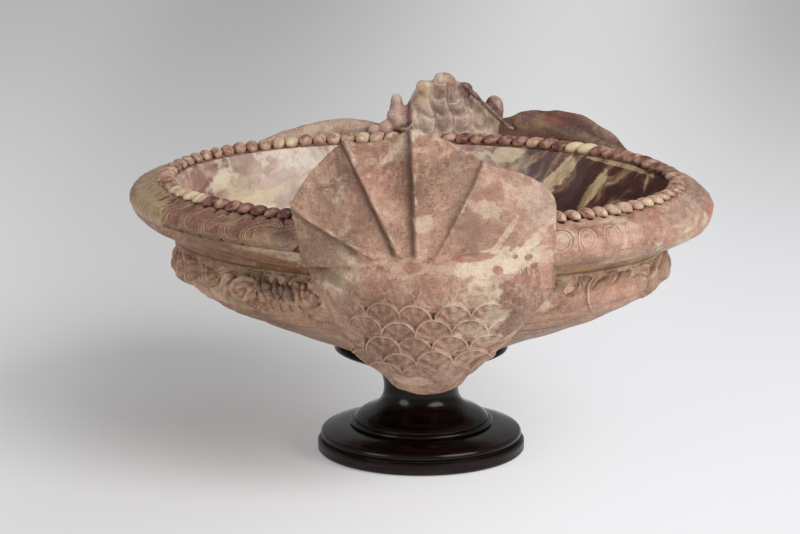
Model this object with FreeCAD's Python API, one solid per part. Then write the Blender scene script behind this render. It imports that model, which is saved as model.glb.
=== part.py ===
import FreeCAD, Part
import math
import os

# Oval marble basin carved as a sea creature, on a turned wooden foot.
# Millimetres, +Z up. The origin is on the foot's axis, on the surface that the foot stands on.
# +X runs along the long side of the oval, -Y is the tail end and +Y is the head end.

Vector = FreeCAD.Vector

# Bowl
bowl_length = 704.0
bowl_width = 526.0
bowl_height = 203.0
seat_radius = 84.0
bead_diameter = 17.0
bead_pitch = 18.2
bead_setback = 9.2
bead_rise = 6.7
bead_strip_width = 12.0
bead_strip_height = 3.0

# Joints in the stone
joint_gap = 0.3
dowel_radius = 5.0
dowel_grip = 20.0
dowel_clearance = 0.15

# Tail
tail_offset = 22.0
tail_half_width = 155.0
tail_rise = 129.0
tail_projection = 34.0
tail_back_clearance = 13.0
fan_root_stand = 19.0
fan_tip_stand = 8.0
fan_thickness = 13.0
pleat_depth = 9.0

# Head
head_offset = 15.0
head_half_width = 76.0
head_rise = 82.0
head_projection = 41.0
head_bead_clearance = 2.5
head_tuck = 60.0
head_top_shift = -14.0
snout_length = 58.0
snout_half_width = 50.0
snout_half_height = 36.0
ear_height = 60.0
ear_width = 23.0
ear_thickness = 20.0
ear_shift = -5.0

# Side fins
left_fin_start = 35.0
left_fin_reach = 220.0
left_fin_rise = 21.0
left_fin_drop = 68.0
right_fin_start = 50.0
right_fin_reach = 240.0
right_fin_rise = 38.0
right_fin_drop = 72.0
fin_thickness = 27.0
fin_lean = 4.0

# Foot
plinth_radius = 125.0
plinth_height = 13.6
plinth_edge = 2.0
groove_depth = 5.0
groove_height = 2.2
disc_radius = 121.5
disc_height = 24.7
disc_widest_height = 6.6
step_radius = 85.0
step_height = 5.5
step_round = 1.4
stem_height = 77.5
stem_flange_radius = 81.0
stem_waist_radius = 45.0
stem_top_radius = 72.0
dish_floor_height = 8.0
dish_lip_setout = 15.0
dish_lip_tube = 6.0
dish_lip_rise = 4.0
lower_tenon_radius = 30.0
lower_tenon_length = 14.5
upper_tenon_radius = 25.0
upper_tenon_length = 4.0
tenon_clearance = 0.15
pad_thickness = 2.0
felt_thickness = 1.2
felt_inset = 10.0

# Tie rod and screws
rod_radius = 6.0
rod_clearance = 0.5
thread_clearance = 0.1
rod_grip = 21.0
rod_tail = 3.0
socket_radius = 11.0
socket_height = 24.0
nut_radius = 11.0
nut_sides = 6
nut_height = 9.5
washer_radius = 18.0
washer_thickness = 2.5
recess_radius = 22.0
recess_height = 18.8
screw_circle_radius = 72.0
screw_head_radius = 4.5
screw_head_height = 3.0
screw_shank_radius = 2.2
screw_length = 28.0
screw_count = 4
cut_overrun = 10.0
measuring_steps = 7200

# Places worked out from the sizes above
half_length = bowl_length / 2
half_width = bowl_width / 2
dish_lip_radius = seat_radius + dish_lip_setout
plinth_z = felt_thickness
disc_z = plinth_z + plinth_height
stem_z = disc_z + disc_height
dish_z = stem_z + stem_height
pad_z = dish_z + dish_floor_height
seat_z = pad_z + pad_thickness
rim_z = seat_z + bowl_height
rod_hole_radius = rod_radius + rod_clearance

# Rise of the bowl round its seat, inside the dish's lip: shares of seat_radius along the length and
# the width, and of bowl_height for the level
seat_rise_shares = [(1.073, 1.058, 0.028), (1.286, 1.215, 0.060)]

# Outside of the bowl above that, in bands that meet at an edge: the underside, the lower bulge, the
# hollow neck and the rim. Shares of half_length, half_width and bowl_height
outside_bands_shares = [
    [
        (0.398, 0.475, 0.124),
        (0.511, 0.583, 0.197),
        (0.639, 0.692, 0.283),
        (0.744, 0.772, 0.365),
        (0.818, 0.818, 0.430),
        (0.857, 0.845, 0.490),
    ],
    [
        (0.861, 0.845, 0.535),
        (0.854, 0.822, 0.590),
        (0.844, 0.780, 0.635),
        (0.838, 0.742, 0.658),
    ],
    [
        (0.856, 0.775, 0.696),
        (0.897, 0.850, 0.735),
        (0.952, 0.933, 0.785),
        (0.984, 0.982, 0.835),
        (0.992, 0.993, 0.865),
    ],
    [
        (1.000, 1.000, 0.900),
        (0.991, 0.988, 0.945),
        (0.965, 0.957, 0.982),
        (0.922, 0.902, 1.000),
    ],
]
bulge_share = outside_bands_shares[0][-1]
rim_share = outside_bands_shares[3][0]

# Hollow of the bowl from its brim down to its floor, in the same shares
hollow_shares = [
    (0.847, 0.800, 1.000),
    (0.830, 0.781, 0.926),
    (0.798, 0.749, 0.793),
    (0.755, 0.693, 0.645),
    (0.682, 0.639, 0.483),
    (0.554, 0.521, 0.340),
    (0.369, 0.346, 0.246),
    (0.171, 0.160, 0.204),
]

# Body of the tail, from its underside up: shares of bowl_height for the level, of tail_half_width
# for the place across and the half width, of the tail's reach for the front, and of its back line
tail_body_shares = [
    (0.030, 0.000, 0.180, 0.720, 1.27),
    (0.054, 0.000, 0.262, 0.747, 1.15),
    (0.094, -0.006, 0.332, 0.788, 1.06),
    (0.153, -0.006, 0.435, 0.832, 1.00),
    (0.261, -0.010, 0.575, 0.902, 1.00),
    (0.345, 0.000, 0.660, 0.939, 1.00),
    (0.507, 0.052, 0.781, 0.980, 1.00),
    (0.635, 0.071, 0.903, 0.997, 1.00),
    (0.745, 0.052, 0.945, 0.997, 1.00),
    (0.830, 0.045, 0.900, 0.975, 1.00),
    (0.900, 0.060, 0.700, 0.945, 1.00),
    (0.950, 0.070, 0.400, 0.910, 1.00),
]

# Ribs of the fan, from its lower left corner round to its lower right corner: shares of
# tail_half_width and tail_rise for the root and for the tip
fan_rib_shares = [
    ((-0.360, -0.260), (-0.890, -0.310)),
    ((-0.330, -0.180), (-0.994, 0.240)),
    ((-0.142, -0.165), (-0.568, 0.868)),
    ((-0.013, -0.160), (-0.058, 1.000)),
    ((0.135, -0.165), (0.477, 0.667)),
    ((0.226, -0.180), (0.994, 0.264)),
    ((0.260, -0.260), (0.981, -0.512)),
]

# How far the free edge between two ribs bulges beyond the straight line, as a share of tail_rise
fan_edge_bulge_shares = [0.0, 0.045, -0.055, 0.050, 0.140, 0.0]
panel_middle_share = 0.45
panel_valley_share = 0.88
fan_ring_shares = [0.0, 0.35, 0.7, 1.0]
root_pleat_share = 0.35

# Head above and below the rim: shares of head_rise (above) or bowl_height (below) for the level,
# of head_half_width, and of head_projection for how far it stands out
head_top_shares = [
    (0.94, 0.35, 0.31),
    (0.82, 0.44, 0.54),
    (0.61, 0.55, 0.73),
    (0.37, 0.74, 0.88),
    (0.17, 0.87, 0.95),
]
head_low_shares = [
    (-0.02, 0.97, 1.00),
    (-0.15, 1.00, 1.00),
    (-0.30, 0.92, 0.90),
    (-0.44, 0.76, 0.71),
    (-0.57, 0.58, 0.41),
    (-0.65, 0.37, 0.12),
]
head_crown_share = 0.13
head_crown_depth_share = 0.20
head_lean_share = 0.36
head_crown_setback_share = 0.33
snout_root_share = 0.55
snout_shares = [(0.0, 1.0, 1.0), (0.45, 0.95, 0.86), (0.8, 0.80, 0.62), (1.0, 0.42, 0.30)]
snout_level_share = -0.16
ear_low_share = 0.15
ear_spread_share = 0.80

# One ear from its foot to its tip: shares of ear_height and of its width
ear_shares = [(0.0, 0.9), (0.35, 1.0), (0.7, 0.97), (0.92, 0.75), (1.0, 0.4)]

# Side fins from the cheek to the tip: shares of the way, the height, the drop and the thickness
left_fin_shares = [
    (0.0, 0.45, 0.90, 0.75),
    (0.2, 0.70, 1.00, 1.00),
    (0.4, 0.98, 0.88, 1.00),
    (0.6, 0.98, 0.66, 0.85),
    (0.8, 0.60, 0.42, 0.60),
    (1.0, 0.05, 0.22, 0.22),
]
right_fin_shares = [
    (0.0, 0.40, 0.85, 0.75),
    (0.2, 0.52, 1.00, 1.00),
    (0.3, 0.84, 0.98, 1.00),
    (0.4, 0.98, 0.92, 1.00),
    (0.6, 1.03, 0.76, 0.90),
    (0.7, 1.00, 0.64, 0.80),
    (0.8, 0.80, 0.52, 0.65),
    (0.9, 0.46, 0.42, 0.45),
    (1.0, -0.02, 0.32, 0.22),
]

# Sweep of the stem, from its flange to its waist and on to its top: shares of the spread below or
# of the flare above, and of stem_height
stem_low_shares = [(0.63, 0.15), (0.40, 0.20), (0.21, 0.26), (0.07, 0.35), (0.0, 0.50)]
stem_high_shares = [(0.02, 0.60), (0.15, 0.75), (0.48, 0.90), (1.0, 1.0)]


def quarter_arcs(matrix):
    """A unit circle in four arcs, placed and stretched by a matrix."""
    arcs = []
    for i in range(4):
        quarter = Part.makeCircle(1, Vector(0, 0, 0), Vector(0, 0, 1), 90 * i, 90 * (i + 1))
        arcs.append(quarter.transformGeometry(matrix))
    return Part.Wire(arcs)


def oval(centre_x, centre_y, across, along, level):
    """Closed oval wire at one level, in four arcs from its +X side."""
    matrix = FreeCAD.Matrix()
    matrix.scale(across, along, 1)
    matrix.move(Vector(centre_x, centre_y, level))
    return quarter_arcs(matrix)


def upright_oval(place, half_across, half_high, face_along):
    """Closed oval wire standing upright, whose face looks along X or along Y."""
    matrix = FreeCAD.Matrix()
    matrix.scale(half_across, half_high, 1)
    matrix.rotateX(math.pi / 2)
    if face_along == "x":
        matrix.rotateZ(math.pi / 2)
    matrix.move(place)
    return quarter_arcs(matrix)


def skin(wires):
    """Smooth solid through a row of closed wires."""
    return Part.makeLoft(wires, True, False)


def turned(profile):
    """Solid of revolution about Z from a closed profile of edges in the XZ plane."""
    return Part.Face(Part.Wire(profile)).revolve(Vector(0, 0, 0), Vector(0, 0, 1), 360)


def line(start, end):
    """Straight profile edge between two (radius, height) places."""
    return Part.LineSegment(Vector(start[0], 0, start[1]), Vector(end[0], 0, end[1])).toShape()


def arc(start, middle, end):
    """Round profile edge through three (radius, height) places."""
    places = [Vector(radius, 0, height) for radius, height in (start, middle, end)]
    return Part.Arc(*places).toShape()


def curve(places):
    """Smooth profile edge through a row of (radius, height) places."""
    spline = Part.BSplineCurve()
    spline.interpolate([Vector(radius, 0, height) for radius, height in places])
    return spline.toShape()


def ring(inner_radius, outer_radius, low, high):
    """Flat ring about the Z axis."""
    corners = [(inner_radius, low), (outer_radius, low), (outer_radius, high), (inner_radius, high)]
    return turned([line(corners[i], corners[(i + 1) % 4]) for i in range(4)])


def peg(radius, low, high):
    """Upright round peg or bore on the Z axis."""
    return Part.makeCylinder(radius, high - low, Vector(0, 0, low))


def rim_line(place_x):
    """How far out the widest line of the rim lies, at a place along X."""
    return half_width * math.sqrt(max(0, 1 - (place_x / half_length) ** 2))


def outside_wires(grow=0):
    """Level ovals of each band of the bowl's outside, grown sideways by a joint."""
    rise = [oval(0, 0, seat_radius + grow, seat_radius + grow, seat_z)]
    for length_share, width_share, height_share in seat_rise_shares:
        level = seat_z + height_share * bowl_height
        across = length_share * seat_radius + grow
        rise.append(oval(0, 0, across, width_share * seat_radius + grow, level))
    bands = [rise]
    for band_shares in outside_bands_shares:
        wires = [bands[-1][-1]]
        for length_share, width_share, height_share in band_shares:
            level = seat_z + height_share * bowl_height
            across = length_share * half_length + grow
            wires.append(oval(0, 0, across, width_share * half_width + grow, level))
        bands.append(wires)
    return bands


def hollow_wires():
    """Level ovals of the bowl's hollow from its brim to its floor."""
    wires = []
    for length_share, width_share, height_share in hollow_shares:
        level = seat_z + height_share * bowl_height
        wires.append(oval(0, 0, length_share * half_length, width_share * half_width, level))
    return wires


def largest(form):
    """The main solid of a form, without the chips that a cut leaves."""
    return max(form.Solids, key=lambda solid: solid.Volume)


def closed_solid(faces):
    """One solid from the faces that close it."""
    shell = Part.makeShell(faces)
    shell.sewShape()
    solid = Part.makeSolid(shell)
    if solid.Volume < 0:
        solid.reverse()
    return solid


def fitting_form():
    """The bowl's outside as a filled form, one joint larger, that the carvings are fitted to."""
    bands = outside_wires(joint_gap)
    form = Part.Face(bands[-1][-1]).extrude(Vector(0, 0, joint_gap))
    for wires in reversed(bands):
        form = form.fuse(skin(wires))
    return form


def dowel_places(name):
    """Start, end and radius of each hidden dowel of one carving."""
    low_level = seat_z + bulge_share[2] * bowl_height
    low_line = bulge_share[1] * half_width
    high_level = seat_z + rim_share[2] * bowl_height
    tail_high = [
        (-tail_half_width / 2 + tail_offset, high_level, -1),
        (tail_half_width / 2 + tail_offset, high_level, -1),
    ]
    head_high = [
        (-head_half_width / 2 + head_offset, high_level, 1),
        (head_half_width / 2 + head_offset, high_level, 1),
    ]
    left_middle = -(left_fin_start + left_fin_reach) / 2 + head_offset
    right_middle = (right_fin_start + right_fin_reach) / 2
    high = {
        "tail_dowels": tail_high,
        "head_dowels": head_high,
        "fin_dowels": [(left_middle, high_level, 1), (right_middle, high_level, 1)],
    }[name]
    reach = dowel_grip if name == "head_dowels" else dowel_grip / 2
    places = []
    for place_x, level, side in high:
        line_y = rim_line(place_x)
        inner_end = Vector(place_x, side * (line_y - dowel_grip), level)
        outer_end = Vector(place_x, side * (line_y + reach), level)
        places.append((inner_end, outer_end))
    low = {
        "tail_dowels": [(tail_offset - tail_half_width / 4, -1), (tail_offset + tail_half_width / 4, -1)],
        "head_dowels": [(head_offset, 1)],
        "fin_dowels": [],
    }[name]
    for place_x, side in low:
        line_y = low_line * math.sqrt(1 - (place_x / (bulge_share[0] * half_length)) ** 2)
        inner_end = Vector(place_x, side * (line_y - dowel_grip), low_level)
        outer_end = Vector(place_x, side * (line_y + dowel_grip), low_level)
        places.append((inner_end, outer_end))
    return places


def dowels(name, clearance=0):
    """All dowels of one carving, or their bores when a clearance is given."""
    solids = []
    for inner_end, outer_end in dowel_places(name):
        way = outer_end - inner_end
        unit = Vector(way).normalize()
        start = inner_end - unit * clearance
        solids.append(Part.makeCylinder(dowel_radius + clearance, way.Length + 2 * clearance, start, unit))
    return Part.makeCompound(solids)


def basin_bowl():
    """The oval bowl: hollowed, with the dowels' bores and the pocket of the rod's socket."""
    bands = outside_wires()
    hollow = hollow_wires()
    faces = [Part.Face(bands[0][0]), Part.Face(hollow[-1])]
    faces += Part.Face(bands[-1][-1]).cut(Part.Face(hollow[0])).Faces
    for wires in bands + [hollow]:
        faces += Part.makeLoft(wires, False, False).Faces
    form = closed_solid(faces)
    for name in ("tail_dowels", "head_dowels", "fin_dowels"):
        form = form.cut(dowels(name, dowel_clearance))
    pocket_top = seat_z + socket_height + dowel_clearance
    return form.cut(peg(socket_radius + dowel_clearance, seat_z - cut_overrun, pocket_top))


def even_places(across, along, pitch):
    """Places spaced evenly round an oval, about one pitch apart, with one at each end of its axes."""
    points = []
    for i in range(measuring_steps + 1):
        turn = 2 * math.pi * i / measuring_steps
        points.append(Vector(across * math.cos(turn), along * math.sin(turn), 0))
    lengths = [0]
    for i in range(measuring_steps):
        lengths.append(lengths[-1] + (points[i + 1] - points[i]).Length)
    count = 4 * round(lengths[-1] / pitch / 4)
    places = []
    index = 0
    for i in range(count):
        while lengths[index] < lengths[-1] * i / count:
            index += 1
        places.append(points[index])
    return places


def bead_moulding():
    """The row of round beads on its strip, along the brim."""
    across = hollow_shares[0][0] * half_length + bead_setback
    along = hollow_shares[0][1] * half_width + bead_setback
    side = bead_strip_width / 2
    outer = Part.Face(oval(0, 0, across + side, along + side, rim_z))
    inner = Part.Face(oval(0, 0, across - side, along - side, rim_z))
    strip = outer.cut(inner).extrude(Vector(0, 0, bead_strip_height))
    radius = bead_diameter / 2
    bead_level = rim_z + bead_rise
    sunk = bead_rise - bead_strip_height / 2
    start_angle = -math.degrees(math.asin(min(1, sunk / radius)))
    beads = []
    for place in even_places(across, along, bead_pitch):
        place.z = bead_level
        beads.append(Part.makeSphere(radius, place, Vector(0, 0, 1), start_angle, 90, 360))
    return strip.multiFuse(beads)


def fan_places():
    """Root, tip and pleat depth of each radial line of the fan, from left to right."""
    lines = []
    for index in range(len(fan_rib_shares) - 1):
        root_a, tip_a = fan_rib_shares[index]
        root_b, tip_b = fan_rib_shares[index + 1]
        bulge = fan_edge_bulge_shares[index]
        for share, depth in ((0.0, 0.0), (panel_middle_share, 0.5), (panel_valley_share, 1.0)):
            root = [root_a[i] + (root_b[i] - root_a[i]) * share for i in (0, 1)]
            tip = [tip_a[i] + (tip_b[i] - tip_a[i]) * share for i in (0, 1)]
            hump = 4 * share * (1 - share) * bulge
            outward = (tip[0] * hump, tip[1] * hump) if bulge > 0 else (0, hump)
            lines.append((root, (tip[0] + outward[0], tip[1] + outward[1]), depth))
    root, tip = fan_rib_shares[-1]
    lines.append((root, tip, 0.0))
    return lines


def fan_point(root, tip, depth, share, thickness):
    """One place on the fan's face, or on its back when a thickness is given."""
    place_x = tail_offset + tail_half_width * (root[0] + (tip[0] - root[0]) * share)
    place_z = rim_z + tail_rise * (root[1] + (tip[1] - root[1]) * share)
    stand = fan_root_stand + (fan_tip_stand - fan_root_stand) * share
    pleat = pleat_depth * depth * (root_pleat_share + (1 - root_pleat_share) * share)
    return Vector(place_x, -(rim_line(place_x) + stand - pleat - thickness), place_z)


def panel(first, second, third, fourth):
    """Four-cornered face between two straight edges."""
    edge_a = Part.LineSegment(first, second).toShape()
    edge_b = Part.LineSegment(fourth, third).toShape()
    return Part.makeRuledSurface(edge_a, edge_b)


def tail_fan():
    """The pleated web of the fan with its five ribs, as a plate of even thickness."""
    front = []
    back = []
    for root, tip, depth in fan_places():
        front.append([fan_point(root, tip, depth, share, 0) for share in fan_ring_shares])
        back.append([fan_point(root, tip, depth, share, fan_thickness) for share in fan_ring_shares])
    faces = []
    rings = len(fan_ring_shares)
    for i in range(len(front) - 1):
        for k in range(rings - 1):
            for sheet in (front, back):
                corners = (sheet[i][k], sheet[i + 1][k], sheet[i + 1][k + 1], sheet[i][k + 1])
                faces.append(panel(*corners))
        for k in (0, rings - 1):
            faces.append(panel(front[i][k], front[i + 1][k], back[i + 1][k], back[i][k]))
    for i in (0, len(front) - 1):
        for k in range(rings - 1):
            faces.append(panel(front[i][k], front[i][k + 1], back[i][k + 1], back[i][k]))
    return closed_solid(faces)


def tail():
    """The scaly tail that rises from under the bowl and opens into its fan."""
    reach = half_width + tail_projection
    back_line = dish_lip_radius + dish_lip_tube + tail_back_clearance
    wires = []
    for level_share, across_share, width_share, front_share, back_share in tail_body_shares:
        front_y = -reach * front_share
        back_y = -back_line * back_share
        wires.append(
            oval(
                tail_offset + across_share * tail_half_width,
                (front_y + back_y) / 2,
                width_share * tail_half_width,
                (back_y - front_y) / 2,
                seat_z + level_share * bowl_height,
            )
        )
    form = skin(wires).fuse(tail_fan())
    form = largest(form.cut(bowl_form))
    return form.cut(dowels("tail_dowels", dowel_clearance))


def head_form(grow=0):
    """The head before it is fitted to the bowl: crown, cheeks, chin, snout and ears."""
    inner_line = hollow_shares[0][1] * half_width + bead_setback + bead_diameter / 2 + head_bead_clearance
    depth_room = half_width - inner_line
    wires = []
    for share, width_share, out_share in reversed(head_low_shares):
        outer_y = half_width + head_projection * out_share + grow
        inner_y = inner_line + head_tuck * share
        wires.append(
            oval(
                head_offset,
                (inner_y + outer_y) / 2,
                width_share * head_half_width + grow,
                (outer_y - inner_y) / 2,
                rim_z + share * bowl_height,
            )
        )
    for share, width_share, out_share in reversed(head_top_shares):
        outer_y = half_width + head_projection * out_share + grow
        inner_y = inner_line + depth_room * share * head_lean_share - grow
        wires.append(
            oval(
                head_offset + share * head_top_shift,
                (inner_y + outer_y) / 2,
                width_share * head_half_width + grow,
                (outer_y - inner_y) / 2,
                rim_z + share * head_rise,
            )
        )
    crown_y = half_width - depth_room * head_crown_setback_share
    wires.append(
        oval(
            head_offset + head_top_shift,
            crown_y,
            head_crown_share * head_half_width,
            head_crown_depth_share * head_projection,
            rim_z + head_rise,
        )
    )
    return skin(wires)


def snout():
    """The snout, which points away from the bowl below the brow."""
    root_y = half_width + head_projection * snout_root_share
    level = rim_z + snout_level_share * bowl_height
    wires = []
    for way_share, width_share, height_share in snout_shares:
        place = Vector(head_offset, root_y + way_share * snout_length, level)
        wires.append(
            upright_oval(place, width_share * snout_half_width, height_share * snout_half_height, "y")
        )
    return skin(wires)


def ear(side):
    """One upright ear beside the crown."""
    low = rim_z - ear_low_share * ear_height
    place_x = head_offset + ear_shift + side * ear_spread_share * head_half_width
    wires = []
    for share, width_share in ear_shares:
        level = low + share * ear_height
        wires.append(
            oval(place_x, half_width, width_share * ear_width / 2, width_share * ear_thickness / 2, level)
        )
    return skin(wires)


def head():
    """The creature's head at the far end, fitted over the rim."""
    form = head_form().fuse(snout())
    for side in (-1, 1):
        form = form.fuse(ear(side))
    form = largest(form.cut(bowl_form))
    return form.cut(dowels("head_dowels", dowel_clearance))


def side_fin(side, start, reach, rise, drop, shares):
    """A leaf-shaped fin that lies back from the cheek along the outside of the rim."""
    wires = []
    for way_share, rise_share, drop_share, thick_share in shares:
        place_x = side * (start + (reach - start) * way_share)
        high = rim_z + rise * rise_share
        low = rim_z - drop * drop_share
        place = Vector(place_x, rim_line(place_x) + fin_lean, (high + low) / 2)
        wires.append(upright_oval(place, fin_thickness * thick_share / 2, (high - low) / 2, "x"))
    form = skin(wires)
    if form.Volume < 0:
        form.reverse()
    form = form.cut(bowl_form)
    form = form.cut(head_form(joint_gap))
    for ear_side in (-1, 1):
        form = form.cut(ear(ear_side))
    return largest(form.cut(dowels("fin_dowels", dowel_clearance)))


def foot_plinth():
    """The foot's lowest ring, with the recess of the nut and the screws' holes."""
    top = disc_z
    profile = [
        line((recess_radius, plinth_z), (plinth_radius - plinth_edge, plinth_z)),
        line((plinth_radius - plinth_edge, plinth_z), (plinth_radius, plinth_z + plinth_edge)),
        line((plinth_radius, plinth_z + plinth_edge), (plinth_radius, top - plinth_edge)),
        line((plinth_radius, top - plinth_edge), (plinth_radius - plinth_edge, top)),
        line((plinth_radius - plinth_edge, top), (recess_radius, top)),
        line((recess_radius, top), (recess_radius, plinth_z)),
    ]
    return turned(profile).cut(plinth_screws(thread_clearance))


def foot_disc():
    """The broad disc with its rounded edge and the step that the stem stands on."""
    edge_low = (disc_radius - groove_depth / 2, disc_z + groove_height)
    edge_middle = (disc_radius, disc_z + disc_widest_height)
    edge_high = (disc_radius - groove_depth, disc_z + disc_height / 2)
    step_low = (step_radius, stem_z - step_height)
    step_middle = (step_radius + step_round, stem_z - step_height / 2)
    step_high = (step_radius - step_round, stem_z)
    slope = ((edge_high[0] + step_low[0]) / 2, step_low[1] - (step_low[1] - edge_high[1]) / 3)
    mortise_radius = lower_tenon_radius + tenon_clearance
    mortise_z = stem_z - lower_tenon_length
    recess_z = plinth_z + recess_height
    foot_edge = (disc_radius - groove_depth / 2, disc_z)
    profile = [
        line((recess_radius, disc_z), foot_edge),
        line(foot_edge, edge_low),
        arc(edge_low, edge_middle, edge_high),
        curve([edge_high, slope, step_low]),
        arc(step_low, step_middle, step_high),
        line(step_high, (mortise_radius, stem_z)),
        line((mortise_radius, stem_z), (mortise_radius, mortise_z)),
        line((mortise_radius, mortise_z), (rod_hole_radius, mortise_z)),
        line((rod_hole_radius, mortise_z), (rod_hole_radius, recess_z)),
        line((rod_hole_radius, recess_z), (recess_radius, recess_z)),
        line((recess_radius, recess_z), (recess_radius, disc_z)),
    ]
    return turned(profile).cut(plinth_screws(thread_clearance))


def foot_stem():
    """The waisted stem with a round tenon at each end."""
    spread = stem_flange_radius - stem_waist_radius
    flare = stem_top_radius - stem_waist_radius
    flange_top = (stem_flange_radius, stem_z + plinth_edge)
    sweep = [flange_top]
    for radius_share, height_share in stem_low_shares:
        sweep.append((stem_waist_radius + spread * radius_share, stem_z + stem_height * height_share))
    for radius_share, height_share in stem_high_shares:
        sweep.append((stem_waist_radius + flare * radius_share, stem_z + stem_height * height_share))
    low_z = stem_z - lower_tenon_length + tenon_clearance
    high_z = dish_z + upper_tenon_length - tenon_clearance
    profile = [
        line((rod_hole_radius, low_z), (lower_tenon_radius, low_z)),
        line((lower_tenon_radius, low_z), (lower_tenon_radius, stem_z)),
        line((lower_tenon_radius, stem_z), (stem_flange_radius, stem_z)),
        line((stem_flange_radius, stem_z), flange_top),
        curve(sweep),
        line(sweep[-1], (upper_tenon_radius, dish_z)),
        line((upper_tenon_radius, dish_z), (upper_tenon_radius, high_z)),
        line((upper_tenon_radius, high_z), (rod_hole_radius, high_z)),
        line((rod_hole_radius, high_z), (rod_hole_radius, low_z)),
    ]
    return turned(profile)


def foot_dish():
    """The saucer under the bowl, with its rolled lip."""
    lip_z = pad_z + dish_lip_rise
    outer = (dish_lip_radius + dish_lip_tube, lip_z)
    top = (dish_lip_radius, lip_z + dish_lip_tube)
    inner = (dish_lip_radius - dish_lip_tube, lip_z)
    low_edge = (stem_top_radius, dish_z)
    belly = ((stem_top_radius + outer[0]) / 2, dish_z + (lip_z - dish_z) / 3)
    inner_foot = (seat_radius + dish_lip_tube, pad_z)
    mortise_radius = upper_tenon_radius + tenon_clearance
    mortise_z = dish_z + upper_tenon_length
    profile = [
        line((mortise_radius, dish_z), low_edge),
        curve([low_edge, belly, outer]),
        arc(outer, top, inner),
        line(inner, inner_foot),
        line(inner_foot, (rod_hole_radius, pad_z)),
        line((rod_hole_radius, pad_z), (rod_hole_radius, mortise_z)),
        line((rod_hole_radius, mortise_z), (mortise_radius, mortise_z)),
        line((mortise_radius, mortise_z), (mortise_radius, dish_z)),
    ]
    return turned(profile)


def seat_pad():
    """The thin leather washer between the dish and the stone."""
    return ring(rod_hole_radius, seat_radius, pad_z, seat_z)


def base_felt():
    """The felt disc under the plinth."""
    return peg(plinth_radius - felt_inset, 0, felt_thickness)


def tie_rod():
    """The rod that pulls the foot against the bowl."""
    return peg(rod_radius, rod_low(), seat_z + rod_grip)


def rod_low():
    """Level of the rod's lower end, just below the nut."""
    return plinth_z + recess_height - washer_thickness - nut_height - rod_tail


def rod_socket():
    """The threaded socket set in the underside of the bowl."""
    socket = peg(socket_radius, seat_z, seat_z + socket_height)
    bore_top = seat_z + rod_grip + thread_clearance
    return socket.cut(peg(rod_radius + thread_clearance, seat_z - cut_overrun, bore_top))


def tie_washer():
    """The washer between the nut and the disc."""
    top = plinth_z + recess_height
    return ring(rod_hole_radius, washer_radius, top - washer_thickness, top)


def tie_nut():
    """The hexagonal nut on the lower end of the rod."""
    high = plinth_z + recess_height - washer_thickness
    corners = []
    for i in range(nut_sides + 1):
        turn = 2 * math.pi * i / nut_sides
        corners.append(Vector(nut_radius * math.cos(turn), nut_radius * math.sin(turn), high - nut_height))
    blank = Part.Face(Part.makePolygon(corners)).extrude(Vector(0, 0, nut_height))
    return blank.cut(peg(rod_radius + thread_clearance, rod_low(), high + cut_overrun))


def plinth_screws(clearance=0):
    """Countersunk screws that hold the plinth to the disc, or their holes when a clearance is given."""
    head_edge = (screw_head_radius + clearance, plinth_z)
    neck = (screw_shank_radius + clearance, plinth_z + screw_head_height + clearance)
    tip = (0, plinth_z + screw_length + clearance)
    shoulder = (neck[0], tip[1] - screw_head_height)
    profile = [
        line((0, plinth_z), head_edge),
        line(head_edge, neck),
        line(neck, shoulder),
        line(shoulder, tip),
        line(tip, (0, plinth_z)),
    ]
    screw = turned(profile)
    screws = []
    for i in range(screw_count):
        turn = math.radians(360 * (i + 0.5) / screw_count)
        copy = screw.copy()
        place = Vector(math.cos(turn), math.sin(turn), 0)
        copy.translate(place * screw_circle_radius)
        screws.append(copy)
    return Part.makeCompound(screws)


def left_side_fin():
    """The narrow fin on the left of the head."""
    return side_fin(-1, left_fin_start, left_fin_reach, left_fin_rise, left_fin_drop, left_fin_shares)


def right_side_fin():
    """The larger fin on the right of the head."""
    return side_fin(1, right_fin_start, right_fin_reach, right_fin_rise, right_fin_drop, right_fin_shares)


bowl_form = fitting_form()
nodes = {
    "basin_bowl": basin_bowl,
    "bead_moulding": bead_moulding,
    "tail": tail,
    "head": head,
    "left_side_fin": left_side_fin,
    "right_side_fin": right_side_fin,
    "tail_dowels": lambda: dowels("tail_dowels"),
    "head_dowels": lambda: dowels("head_dowels"),
    "fin_dowels": lambda: dowels("fin_dowels"),
    "seat_pad": seat_pad,
    "foot_dish": foot_dish,
    "foot_stem": foot_stem,
    "foot_disc": foot_disc,
    "foot_plinth": foot_plinth,
    "tie_rod": tie_rod,
    "rod_socket": rod_socket,
    "tie_nut": tie_nut,
    "tie_washer": tie_washer,
    "plinth_screws": plinth_screws,
    "base_felt": base_felt,
}

os.makedirs("parts", exist_ok=True)
for name, build in nodes.items():
    shape = build()
    shape.exportStep("parts/" + name + ".step")
    box = shape.BoundBox
    print(
        name, len(shape.Solids), shape.isValid(), round(shape.Volume / 1000, 1), "cm3",
        [round(v, 1) for v in (box.XMin, box.XMax, box.YMin, box.YMax, box.ZMin, box.ZMax)],
    )
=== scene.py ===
import math

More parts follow.
